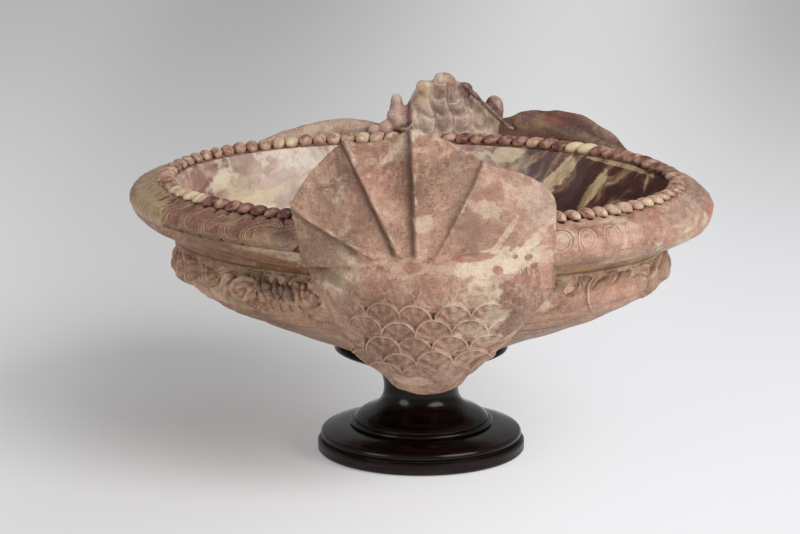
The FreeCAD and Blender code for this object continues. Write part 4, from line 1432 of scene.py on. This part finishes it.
def tail_piece():
    """The scaly tail and its fan, cut from one block."""
    whole = join("tail_carving", [tail_body(), tail_fan()])
    apply_modifier(whole, "REMESH", mode="VOXEL", voxel_size=0.0019)
    apply_modifier(whole, "SMOOTH", factor=0.5, iterations=5)
    divide_faces(whole, scaled_or_ribbed)
    set_places(whole, outside_bowl(places_of(whole), 0.004))
    places = places_of(whole)
    normals = normals_of(whole)
    x, y, z = places.T
    facing = soft_step(-normals[:, 1], 0.1, 0.5)
    fan_zone = (
        soft_step(z, rim_z - 0.032, rim_z - 0.012) * soft_step(-y - rim_line(x), -0.014, -0.006)
    )
    depth, crest, shade, tips = pleats(x, z)
    places[:, 1] += 0.0120 * depth * fan_zone
    places[:, 1] -= 0.0036 * crest * fan_zone * facing
    raised = np.maximum(places[:, 2], rim_z + tail_rise)
    places[:, 2] = np.minimum(places[:, 2] + 0.0040 * tips * fan_zone, raised)
    height, line = scales(x, z)
    level = level_of(places)
    scale_zone = (
        (1 - soft_step(level, 0.62, 0.76)) * soft_step(-normals[:, 1], -0.1, 0.2)
        * soft_step(-y, 0.14, 0.17)
    )
    spread = np.abs(x - tail_offset - 0.004) / tail_half_width
    scale_zone = scale_zone * (1 - soft_step(spread, 0.50, 0.66)) * soft_step(level, 0.10, 0.24)
    places += normals * ((height - scale_height) * scale_zone)[:, None]
    places += normals * (0.0007 * swell(places, 0.03, 41) * facing)[:, None]
    set_places(whole, places)
    ribs = whole.vertex_groups.new(name="ribs")
    ribs.add(
        np.flatnonzero((fan_zone > 0.3) & ((crest > 0.02) | (shade > 0.05))).tolist(), 1.0,
        "REPLACE",
    )
    apply_modifier(whole, "SMOOTH", factor=0.5, iterations=3, vertex_group="ribs")
    whole.vertex_groups.clear()
    scored = swell(np.stack([x * 0.9 + 0.35 * z, 0.3 * z, 0 * x], 1), 0.0045, 43)
    scored = scored * soft_step(swell(places, 0.06, 44), 0.0, 0.8)
    crossed = swell(np.stack([0.12 * x, z + 0.15 * x, 0 * x], 1), 0.0045, 45)
    crossed = crossed * soft_step(swell(places, 0.06, 46), 0.1, 0.9)
    tooled = 0.16 * (scored + crossed) * facing * (1 - scale_zone)
    uneven = 0.6 + 0.5 * swell(places, 0.018, 48)
    # Painted highlight on the rib crests and painted shade beside the ribs; the scales' painted
    # light; tool marks
    carved = (0.42 * crest * uneven - 0.62 * shade) * fan_zone * facing + line * scale_zone + tooled
    mark(whole, "carved", np.clip(carved, -1, 1))
    face_out(whole)
    apply_modifier(whole, "DECIMATE", ratio=0.55)
    smooth(whole)
    return whole


# ---- Head and side fins ----

# Height, width and reach away from the bowl, above and below the rim
head_top_shares = [
    (0.82, 0.29, 0.40), (0.74, 0.41, 0.60), (0.58, 0.55, 0.73), (0.32, 0.74, 0.86),
    (0.14, 0.87, 0.93),
]
head_low_shares = [
    (-0.02, 0.97, 1.00), (-0.15, 1.00, 1.00), (-0.30, 0.92, 0.90), (-0.44, 0.76, 0.71),
    (-0.57, 0.58, 0.41), (-0.65, 0.37, 0.12),
]
snout_shares = [
    (0.35, 0.98, 0.95), (0.6, 0.93, 0.80), (0.8, 0.80, 0.60), (0.93, 0.60, 0.42), (1.0, 0.30, 0.20)
]

# Ears: side, place across and half width; and their outline as shares of height and width
ear_places = [(-1, -0.051, 0.0092), (1, 0.067, 0.0118)]
ear_shares = [(0.0, 0.9), (0.35, 1.0), (0.7, 1.0), (0.88, 0.85), (0.96, 0.6), (1.0, 0.25)]

# Lumps on the crown and beside it: place across, height above the rim, and radius
crown_lumps = [(-0.019, 0.0620, 0.0095), (0.007, 0.0672, 0.0148), (0.033, 0.0610, 0.0098)]
brow_lumps = [
    (-0.036, 0.019, 0.0125), (-0.079, 0.009, 0.008), (-0.064, 0.012, 0.010),
    (-0.047, 0.018, 0.011), (-0.055, 0.028, 0.009),
]

# Outlines of the side fins: way along, height above the rim, depth below it, and thickness
left_fin_shares = [
    (0.0, 0.45, 0.90, 0.75), (0.2, 0.70, 1.00, 1.00), (0.4, 0.98, 0.88, 1.00),
    (0.6, 0.98, 0.66, 0.85), (0.8, 0.60, 0.42, 0.60), (1.0, 0.05, 0.22, 0.22),
]
right_fin_shares = [
    (0.0, 0.40, 0.85, 0.75), (0.2, 0.66, 1.00, 1.00), (0.27, 0.88, 0.98, 1.00),
    (0.34, 0.99, 0.95, 1.00), (0.5, 1.03, 0.85, 0.95), (0.67, 0.97, 0.68, 0.85),
    (0.69, 0.94, 0.66, 0.82), (0.8, 0.69, 0.52, 0.65), (0.9, 0.45, 0.42, 0.45),
    (1.0, -0.02, 0.32, 0.22),
]


def head_station(width_share, outer_y, inner_y, height, middle_x):
    return (
        width_share * head_half_width, (outer_y - inner_y) / 2, height, middle_x,
        (inner_y + outer_y) / 2,
    )


def crown():
    """The block of the head: cheeks below the rim, crown above it."""
    inner_line = bead_line_y + 0.0085 + 0.0025
    room = half_width - inner_line
    stations = []
    for share, width_share, out_share in reversed(head_low_shares):
        outer_y = half_width + head_projection * out_share
        inner_y = inner_line + 0.060 * share
        stations.append(
            head_station(width_share, outer_y, inner_y, rim_z + share * bowl_height, head_offset)
        )
    for share, width_share, out_share in reversed(head_top_shares):
        outer_y = half_width + head_projection * out_share
        inner_y = inner_line + room * share * 0.36
        middle_x = head_offset + share * head_top_shift
        stations.append(
            head_station(width_share, outer_y, inner_y, rim_z + share * head_rise, middle_x)
        )
    top = (
        0.13 * head_half_width, 0.20 * head_projection, rim_z + head_rise - 0.011,
        head_offset + head_top_shift, half_width - room / 3,
    )
    return close_ends(level_rings("crown", stations + [top], 96))


def snout():
    """The snout, drawn out from the block towards the far side."""
    level = rim_z - 0.16 * bowl_height
    piece = ring_to_draw("snout", 48)
    bpy.ops.transform.rotate(value=math.pi / 2, orient_axis="X", center_override=(0, 0, 0))
    root_y = half_width + head_projection * 0.3
    reach = half_width + head_projection * 0.55 + 0.058 - root_y
    bpy.ops.transform.resize(value=(0.050, 1, 0.036), center_override=(0, 0, 0))
    bpy.ops.transform.translate(value=(head_offset, root_y, level))
    spot = root_y
    last = (1.0, 1.0)
    for way, wide, high in snout_shares:
        next_y = root_y + way * reach
        bpy.ops.mesh.extrude_edges_move(TRANSFORM_OT_translate={"value": (0, next_y - spot, 0)})
        centre = (head_offset, next_y, level)
        bpy.ops.transform.resize(value=(wide / last[0], 1, high / last[1]), center_override=centre)
        spot = next_y
        last = (wide, high)
    end_edit()
    return close_ends(piece)


def ear(side, place_x, ear_width):
    """A small upright ear with a round tip."""
    stations = [
        (
            wide * ear_width, wide * 0.010, rim_z - 0.009 + share * 0.060,
            place_x + side * 0.002 * share, half_width,
        )
        for share, wide in ear_shares
    ]
    return close_ends(level_rings("ear", stations, 32))


def crown_edge():
    """The thin red edge that runs down the right of the crown."""
    stations = [
        (
            0.0044, 0.0032, rim_z + 0.013 + 0.058 * share, 0.091 - 0.060 * share,
            half_width - 0.0200 - 0.0022 * share,
        )
        for share in (0.0, 0.5, 1.0)
    ]
    return close_ends(level_rings("crown_edge", stations, 20))


def crown_tiles(x, z, from_middle):
    """Height and lines of the blocky scales that cover the crown in rows: a pale border in each,
    and painted shade in the grooves between them.
    """
    column = (from_middle + 0.004) / tile_width + 0.5 + 0.10 * np.sin(z / 0.0065)
    across = column - np.floor(column) - 0.5
    row = (z - rim_z) / tile_height + 0.42 * (np.floor(column) % 2)
    row = row + 0.22 * np.sin(x / 0.009 + 1) + 0.30 * np.cos(math.pi * across)
    side = np.abs(across) * 2
    rise = np.abs(row - np.floor(row) - 0.5) * 2
    block = (1 - side**2.5) * (1 - rise**2.5)
    edge = np.maximum(side, rise)
    return block, 0.72 * ridge(edge - 0.80, 0.10) - 0.50 * ridge(edge - 1.0, 0.08)


def head_piece():
    """The creature's head: crested crown with blocky scales, ears, brow, eyes and snout."""
    parts = [crown(), snout()]
    for side, place_x, ear_width in ear_places:
        parts.append(ear(side, place_x, ear_width))
        parts.append(
            ball("eye", 0.0125, (head_offset + side * 0.050, half_width + 0.030, rim_z + 0.004))
        )
    for place_x, level, radius in crown_lumps:
        parts.append(ball("crown_bump", radius, (place_x, half_width - 0.012, rim_z + level)))
    for place_x, level, radius in brow_lumps:
        parts.append(ball("crown_bump", radius, (place_x, half_width - 0.020, rim_z + level)))
    parts.append(crown_edge())
    whole = join("head_carving", parts)
    face_out(whole)
    apply_modifier(whole, "REMESH", mode="VOXEL", voxel_size=0.0018)
    apply_modifier(whole, "SMOOTH", factor=0.5, iterations=5)
    places = places_of(whole)
    normals = normals_of(whole)
    x, y, z = places.T
    up = (z - rim_z) / head_rise
    middle = head_offset + head_top_shift * np.clip(up, 0, 1)
    above = soft_step(z, rim_z + 0.002, rim_z + 0.010)
    tiled = above * (1 - soft_step(np.abs(x - middle) - 0.070 * (1 - up), -0.006, 0.006))
    block, tile_line = crown_tiles(x, z, x - middle)
    places += normals * (tiled * (0.0046 * block - 0.0040))[:, None]
    worn = 0.40 * soft_step(block, 0.35, 0.9) * (0.7 + 0.5 * swell(places, 0.03, 52))
    line = tiled * (tile_line - worn)
    red_edge = ridge((x - 0.062) + (z - rim_z - 0.0405) * 0.98, 0.0046)
    red_edge = red_edge * soft_step(z, rim_z + 0.006, rim_z + 0.012) * soft_step(x, 0.030, 0.036)
    # Painted shadow: a dark line down the crown's left side, beside the left ear
    beside = window(x - middle, -0.052, -0.046, -0.046, -0.038) * above
    beside = beside * (1 - soft_step(z, rim_z + 0.040, rim_z + 0.050))
    line = line * (1 - np.minimum(1, 1.6 * red_edge)) - 0.75 * beside
    mouth = (
        ridge(z - (rim_z - 0.047 + 0.10 * np.abs(x - head_offset)), 0.0025)
        * soft_step(y, 0.285, 0.30)
    )
    places -= normals * (0.0035 * mouth)[:, None]
    brow = (
        ridge(z - (rim_z - 0.002 - 0.15 * np.abs(x - head_offset)), 0.003)
        * soft_step(y, 0.27, 0.285)
    )
    places -= normals * (0.0022 * brow)[:, None]
    places += normals * (0.0006 * swell(places, 0.02, 51))[:, None]
    set_places(whole, places)
    # Painted shade in the mouth's and the brow's grooves
    mark(whole, "carved", np.clip(line - mouth - 0.7 * brow, -1, 1))
    smooth(whole)
    return whole


def fin_piece(name, side, start, reach, rise, drop, shares, seed):
    """One leaf-shaped side fin with long grooves, lying back along the rim."""
    shares = np.array(shares)
    way = np.linspace(0, 1, 90)
    kernel = np.ones(5) / 5
    profile = [np.interp(way, shares[:, 0], shares[:, column]) for column in (1, 2, 3)]
    profile = [
        np.convolve(np.pad(values, 2, mode="edge"), kernel, mode="valid") for values in profile
    ]
    piece = ring_to_draw(name, 96)
    bpy.ops.transform.rotate(value=math.pi / 2, orient_axis="Y", center_override=(0, 0, 0))
    last = None
    for share, high_share, drop_share, thick in zip(way, *profile):
        place_x = side * (start + (reach - start) * share)
        top = rim_z + rise * high_share
        low = rim_z - drop * drop_share
        centre = (place_x, float(rim_line(np.array([place_x]))[0]) + 0.004, (top + low) / 2)
        size = (0.027 * thick / 2, (top - low) / 2)
        if last is None:
            bpy.ops.transform.resize(value=(1, size[0], size[1]), center_override=(0, 0, 0))
            bpy.ops.transform.translate(value=centre)
        else:
            move = tuple(centre[k] - last[0][k] for k in range(3))
            bpy.ops.mesh.extrude_edges_move(TRANSFORM_OT_translate={"value": move})
            grow = (1, size[0] / last[1][0], size[1] / last[1][1])
            bpy.ops.transform.resize(value=grow, center_override=centre)
        last = (centre, size)
    end_edit()
    close_ends(piece)
    face_out(piece)
    places = places_of(piece)
    normals = normals_of(piece)
    share = (np.abs(places[:, 0]) - start) / (reach - start)
    fan_out = (places[:, 2] - (rim_z - 0.02)) / (0.02 + 0.05 * (1 - share))
    grooves = np.sin(fan_out * 9 + 1.5 * share + 0.6 * swell(places, 0.08, seed))
    depth = -0.0010 + 0.0010 * grooves + 0.0007 * swell(places, 0.03, seed + 1)
    set_places(piece, places + normals * np.minimum(depth, 0)[:, None])
    # Painted shade in the grooves and painted highlight on the ridges between them
    carved = -0.5 * soft_step(-grooves, 0.4, 1.0) + 0.25 * soft_step(grooves, 0.6, 1.0)
    mark(piece, "carved", np.clip(carved, -1, 1))
    smooth(piece, 1.0)
    return piece


# ---- Stains of the stone ----

# Screen colour, centre and half size along x and z, lean, strength, and raggedness
tail_patches = [
    ((190, 154, 136), (0.120, 0.370), (0.075, 0.060), 0.0, 0.30, 0.6),
    ((122, 96, 74), (-0.085, 0.340), (0.060, 0.030), 0.3, 0.35, 1.0),
    ((150, 96, 82), (-0.040, 0.375), (0.050, 0.024), 0.8, 0.30, 1.0),
    ((120, 94, 72), (0.040, 0.400), (0.050, 0.030), 0.0, 0.30, 1.0),
    ((216, 198, 174), (0.118, 0.303), (0.054, 0.015), 0.10, 0.9, 0.8),
    ((216, 198, 174), (0.148, 0.322), (0.030, 0.006), 0.75, 0.85, 0.7),
    ((210, 190, 166), (0.118, 0.332), (0.026, 0.004), 0.95, 0.8, 0.7),
    ((206, 186, 162), (0.170, 0.345), (0.026, 0.003), 0.60, 0.7, 0.8),
    ((150, 98, 84), (0.140, 0.283), (0.040, 0.004), -0.20, 0.7, 0.8),
    ((200, 176, 150), (0.040, 0.298), (0.050, 0.005), -0.05, 0.5, 1.1),
    ((196, 170, 144), (-0.010, 0.304), (0.040, 0.0035), 0.15, 0.4, 1.1),
    ((208, 190, 164), (0.098, 0.366), (0.022, 0.009), -0.4, 0.6, 1.1),
    ((204, 184, 158), (0.026, 0.350), (0.013, 0.010), 0.0, 0.65, 0.8),
    ((206, 186, 170), (0.155, 0.366), (0.022, 0.030), 0.5, 0.45, 0.9),
    ((138, 76, 64), (0.083, 0.310), (0.025, 0.0048), 0.03, 0.9, 0.35),
    ((140, 78, 66), (0.146, 0.306), (0.0052, 0.0042), 0.3, 0.9, 0.35),
    ((140, 78, 66), (0.131, 0.308), (0.0036, 0.0028), 0.0, 0.9, 0.35),
    ((140, 78, 66), (0.112, 0.295), (0.0064, 0.0048), -0.3, 0.9, 0.35),
    ((140, 78, 66), (0.152, 0.295), (0.0045, 0.0045), 0.0, 0.9, 0.35),
    ((160, 108, 92), (0.145, 0.349), (0.024, 0.004), -0.8, 0.5, 1.2),
    ((196, 148, 128), (0.166, 0.300), (0.007, 0.050), 0.0, 0.6, 0.5),
    ((138, 78, 66), (0.014, 0.299), (0.011, 0.006), 0.1, 0.8, 0.6),
    ((118, 94, 72), (-0.100, 0.296), (0.050, 0.026), 0.2, 0.5, 0.9),
    ((112, 98, 74), (-0.070, 0.275), (0.040, 0.008), -0.3, 0.35, 0.9),
    ((128, 88, 74), (0.020, 0.215), (0.085, 0.045), 0.0, 0.32, 1.2),
    ((116, 86, 66), (-0.105, 0.300), (0.030, 0.030), 0.0, 0.35, 1.0),
    ((140, 86, 74), (-0.045, 0.392), (0.012, 0.020), 0.3, 0.5, 0.8),
    ((142, 88, 76), (0.108, 0.385), (0.012, 0.012), 0.0, 0.6, 0.8),
    ((118, 92, 68), (0.070, 0.345), (0.016, 0.030), 0.3, 0.5, 0.9),
    ((122, 104, 80), (-0.055, 0.268), (0.070, 0.009), -0.45, 0.45, 0.9),
    ((126, 78, 68), (0.015, 0.282), (0.048, 0.006), 0.1, 0.5, 1.2),
    ((160, 112, 96), (0.020, 0.262), (0.090, 0.018), 0.0, 0.35, 1.2),
    ((214, 190, 160), (0.012, 0.150), (0.020, 0.007), 0.1, 0.55, 0.9),
]
rim_patches = [
    ((220, 198, 156), (-0.316, 0.318), (0.022, 0.034), -0.5, 0.85, 0.7),
    ((118, 66, 52), (-0.235, 0.315), (0.060, 0.040), 0.0, 0.60, 0.9),
    ((102, 98, 90), (-0.145, 0.318), (0.013, 0.012), 0.0, 0.75, 1.1),
    ((178, 150, 104), (-0.170, 0.306), (0.022, 0.012), 0.0, 0.6, 1.0),
    ((214, 196, 168), (0.186, 0.323), (0.009, 0.006), 0.0, 0.7, 0.6),
    ((214, 196, 168), (0.243, 0.322), (0.008, 0.005), 0.0, 0.5, 0.8),
    ((196, 122, 88), (0.352, 0.310), (0.007, 0.012), 0.0, 0.7, 0.8),
    ((160, 128, 116), (0.322, 0.322), (0.034, 0.013), 0.2, 0.55, 0.9),
    ((196, 150, 134), (0.250, 0.312), (0.050, 0.012), 0.1, 0.4, 0.9),
]
carved_patches = [
    ((92, 82, 72), (-0.160, 0.248), (0.034, 0.013), 0.0, 0.7, 0.9),
    ((178, 152, 106), (-0.142, 0.226), (0.024, 0.005), 0.3, 0.6, 0.8),
    ((150, 140, 110), (-0.185, 0.256), (0.022, 0.008), 0.5, 0.5, 0.9),
    ((104, 96, 78), (0.196, 0.254), (0.030, 0.006), 0.3, 0.6, 0.9),
    ((196, 154, 136), (0.235, 0.222), (0.050, 0.022), 0.3, 0.45, 0.9),
    ((112, 76, 58), (0.235, 0.254), (0.060, 0.010), 0.22, 0.75, 0.9),
    ((124, 88, 70), (0.275, 0.266), (0.050, 0.010), 0.30, 0.6, 0.9),
    ((170, 124, 106), (0.215, 0.225), (0.050, 0.018), 0.3, 0.6, 0.8),
    ((150, 116, 98), (0.290, 0.245), (0.030, 0.020), 0.4, 0.5, 0.9),
    ((150, 112, 66), (-0.245, 0.246), (0.040, 0.012), 0.4, 0.5, 0.9),
    ((122, 116, 84), (-0.215, 0.222), (0.030, 0.006), -0.5, 0.5, 0.9),
    ((140, 88, 74), (-0.270, 0.240), (0.030, 0.014), 0.0, 0.45, 0.9),
]
body_patches = [
    ((142, 92, 50), (-0.195, 0.288), (0.080, 0.018), -0.27, 0.9, 0.8),
    ((104, 66, 44), (-0.185, 0.279), (0.060, 0.004), -0.24, 0.75, 0.9),
    ((118, 74, 54), (-0.215, 0.302), (0.050, 0.004), -0.30, 0.6, 0.9),
    ((176, 140, 92), (-0.150, 0.276), (0.022, 0.004), -0.20, 0.6, 0.9),
    ((196, 170, 120), (0.222, 0.272), (0.060, 0.0045), 0.28, 0.75, 0.9),
    ((130, 100, 74), (0.200, 0.285), (0.050, 0.005), 0.20, 0.5, 1.0),
]
hollow_patches = [
    ((206, 190, 160), (0.090, 0.322), (0.022, 0.0100), 0.2, 0.85, 0.8),
    ((216, 202, 174), (-0.2555, 0.303), (0.011, 0.0080), 0.2, 0.85, 0.8),
    ((208, 186, 150), (-0.220, 0.281), (0.032, 0.0100), 0.1, 0.75, 1.2),
    ((206, 198, 184), (-0.160, 0.314), (0.040, 0.0120), 0.3, 0.6, 1.1),
    ((176, 142, 132), (-0.190, 0.297), (0.030, 0.0070), 0.3, 0.6, 1.1),
    ((168, 128, 116), (-0.279, 0.314), (0.022, 0.0120), 0.6, 0.7, 0.9),
]
head_patches = [
    ((206, 184, 146), (0.058, 0.352), (0.020, 0.010), -0.6, 0.45, 1.0),
    ((132, 110, 104), (0.008, 0.366), (0.014, 0.026), 0.0, 0.55, 0.9),
    ((206, 160, 122), (-0.018, 0.386), (0.010, 0.016), 0.3, 0.5, 0.9),
    ((120, 100, 96), (-0.062, 0.372), (0.006, 0.014), 0.0, 0.5, 0.8),
    ((206, 182, 150), (-0.010, 0.385), (0.012, 0.010), 0.9, 0.5, 1.0),
    ((178, 122, 104), (0.012, 0.398), (0.014, 0.005), 0.0, 0.5, 1.0),
    ((186, 134, 122), (-0.060, 0.345), (0.026, 0.012), 0.5, 0.5, 1.0),
    ((88, 40, 34), (0.061, rim_z + 0.042), (0.047, 0.0066), -0.77, 1.0, 0.10),
]

# Cream bands of the hollow's right side: the same without a colour
hollow_bands = [
    ((0.152, 0.300), (0.036, 0.0085), 0.84, 1.0, 0.6),
    ((0.199, 0.294), (0.030, 0.0055), 0.94, 1.0, 0.6),
    ((0.120, 0.318), (0.030, 0.0050), 0.55, 0.9, 0.6),
    ((0.225, 0.328), (0.045, 0.0030), -0.03, 0.9, 0.6),
    ((0.266, 0.316), (0.012, 0.0018), 1.30, 0.8, 0.4),
    ((0.232, 0.285), (0.020, 0.0030), 0.50, 0.5, 0.8),
]
right_fin_patches = [((122, 56, 52), (0.160, 0.362), (0.028, 0.010), 0.1, 0.7, 0.6)]


# ---- Putting it together ----

body_marble = marble(
    "body_marble", [(124, 88, 67), (162, 122, 98), (188, 149, 124), (210, 176, 150)],
    red=0.3, cream_share=0.5, ochre_share=0.5, gloss=0.40, tooling=0.8, seed=0.3, left_painted_shade=0.8,
    patches=body_patches,
)
rim_marble = marble(
    "rim_marble", [(122, 78, 63), (160, 115, 95), (184, 141, 119), (208, 171, 147)],
    red=0.5, cream_share=0.5, ochre_share=0.35, gloss=0.36, tooling=0.5, seed=1.9, left_painted_shade=0.65,
    patches=rim_patches, coins=True,
)
carved_marble = marble(
    "carved_marble", [(122, 86, 66), (162, 122, 98), (190, 150, 126), (216, 182, 156)],
    red=0.4, cream_share=0.5, ochre_share=0.5, gloss=0.46, tooling=0.7, seed=4.2, left_painted_shade=0.42,
    patches=carved_patches,
)
tail_marble = marble(
    "tail_marble", [(106, 72, 58), (146, 109, 89), (172, 134, 112), (208, 174, 151)],
    red=0.55, cream_share=0.4, ochre_share=-0.6, gloss=0.5, tooling=0.55, seed=2.6,
    patches=tail_patches,
)
head_marble = marble(
    "head_marble", [(134, 106, 94), (168, 140, 125), (190, 164, 148), (216, 194, 176)],
    red=0.35, cream_share=0.6, ochre_share=0.25, gloss=0.46, tooling=0.8, seed=6.1,
    patches=head_patches,
)
left_fin_marble = marble(
    "left_fin_marble", [(138, 108, 90), (168, 138, 118), (188, 158, 138), (206, 180, 160)],
    red=0.3, cream_share=0.4, ochre_share=0.3, gloss=0.4, tooling=0.8, seed=5.3,
)
right_fin_marble = marble(
    "right_fin_marble", [(82, 56, 48), (104, 74, 64), (122, 90, 78), (150, 116, 98)],
    red=0.3, cream_share=0.15, ochre_share=0.1, gloss=0.42, tooling=0.8, seed=9.7,
    patches=right_fin_patches,
)
bead_marble = beads_marble("bead_marble")
inside_marble = hollow_marble("inside_marble")
polished_wood = dark_wood("polished_wood", tone(8, 3, 3), tone(26, 11, 9), 0.14)
waxed_wood = dark_wood("waxed_wood", tone(18, 10, 8), tone(42, 26, 21), 0.30)
leather = plain_finish("leather_grain", tone(70, 44, 30), tone(98, 64, 44), 700, 0.6)
felt = plain_finish("felt_nap", tone(30, 62, 44), tone(44, 84, 60), 1500, 0.9)
bronze = plain_finish("bronze_metal", tone(120, 92, 58), tone(150, 118, 76), 200, 0.35, 1.0)
steel = plain_finish("steel_metal", tone(140, 140, 144), tone(170, 170, 174), 260, 0.3, 1.0)

finish_piece(bowl_body(), body_marble, "bowl_marble", "basin_bowl")
finish_piece(bowl_hollow(), inside_marble, "bowl_marble", "basin_bowl")
finish_piece(rim_moulding(), rim_marble, "bowl_marble", "basin_bowl")
finish_piece(lower_moulding(), carved_marble, "bowl_marble", "basin_bowl")
finish_piece(bead_row(), bead_marble, "bead_marble", "bead_moulding")
finish_piece(tail_piece(), tail_marble, "tail_marble", "tail")
finish_piece(head_piece(), head_marble, "head_marble", "head")
left_fin = fin_piece("left_fin", -1, 0.035, 0.220, 0.021, 0.068, left_fin_shares, 61)
finish_piece(left_fin, left_fin_marble, "fin_marble", "left_side_fin")
right_fin = fin_piece("right_fin", 1, 0.050, 0.240, 0.038, 0.072, right_fin_shares, 71)
finish_piece(right_fin, right_fin_marble, "fin_marble", "right_side_fin")

for node, material in (
    ("foot_dish", polished_wood), ("foot_stem", polished_wood), ("foot_disc", polished_wood),
    ("foot_plinth", waxed_wood), ("seat_pad", leather), ("base_felt", felt),
    ("tail_dowels", bronze), ("head_dowels", bronze), ("fin_dowels", bronze),
    ("rod_socket", bronze), ("tie_rod", steel), ("tie_nut", steel), ("tie_washer", steel),
    ("plinth_screws", steel),
):
    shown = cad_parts[node]
    shown.data.materials.clear()
    shown.data.materials.append(material)

# ---- Floor, light and camera ----

clear_selection()
bpy.ops.mesh.primitive_plane_add(size=60, location=(0, 0, 0))
floor = name_piece("floor")
floor.data.materials.append(paper_finish("floor_paper"))


def soft_box(name, place, aim, size, power):
    lamp = bpy.data.lights.new(name, "AREA")
    lamp.shape = "DISK"
    lamp.size = size
    lamp.energy = power
    box = bpy.data.objects.new(name, lamp)
    bpy.context.collection.objects.link(box)
    box.location = place
    box.rotation_euler = (Vector(aim) - Vector(place)).to_track_quat("-Z", "Y").to_euler()


soft_box("key_light", (2.9, -2.2, 2.6), (0, 0, 0.25), 3.2, 158)
soft_box("left_light", (-3.2, -2.9, 1.5), (0, 0, 0.25), 2.2, 48)

world = bpy.data.worlds.new("studio")
bpy.context.scene.world = world
world.use_nodes = True
world.node_tree.nodes["Background"].inputs[0].default_value = (1, 1, 1, 1)
world.node_tree.nodes["Background"].inputs[1].default_value = 0.38

lens = bpy.data.cameras.new("camera")
lens.lens = camera_lens
lens.sensor_width = 36
lens.clip_start = 0.1
lens.clip_end = 100
camera = bpy.data.objects.new("camera", lens)
bpy.context.collection.objects.link(camera)
camera.location = camera_place
camera.rotation_euler = (
    Vector(camera_aim) - Vector(camera_place)
).to_track_quat("-Z", "Y").to_euler()
bpy.context.scene.camera = camera
bpy.context.scene.view_settings.view_transform = "Standard"
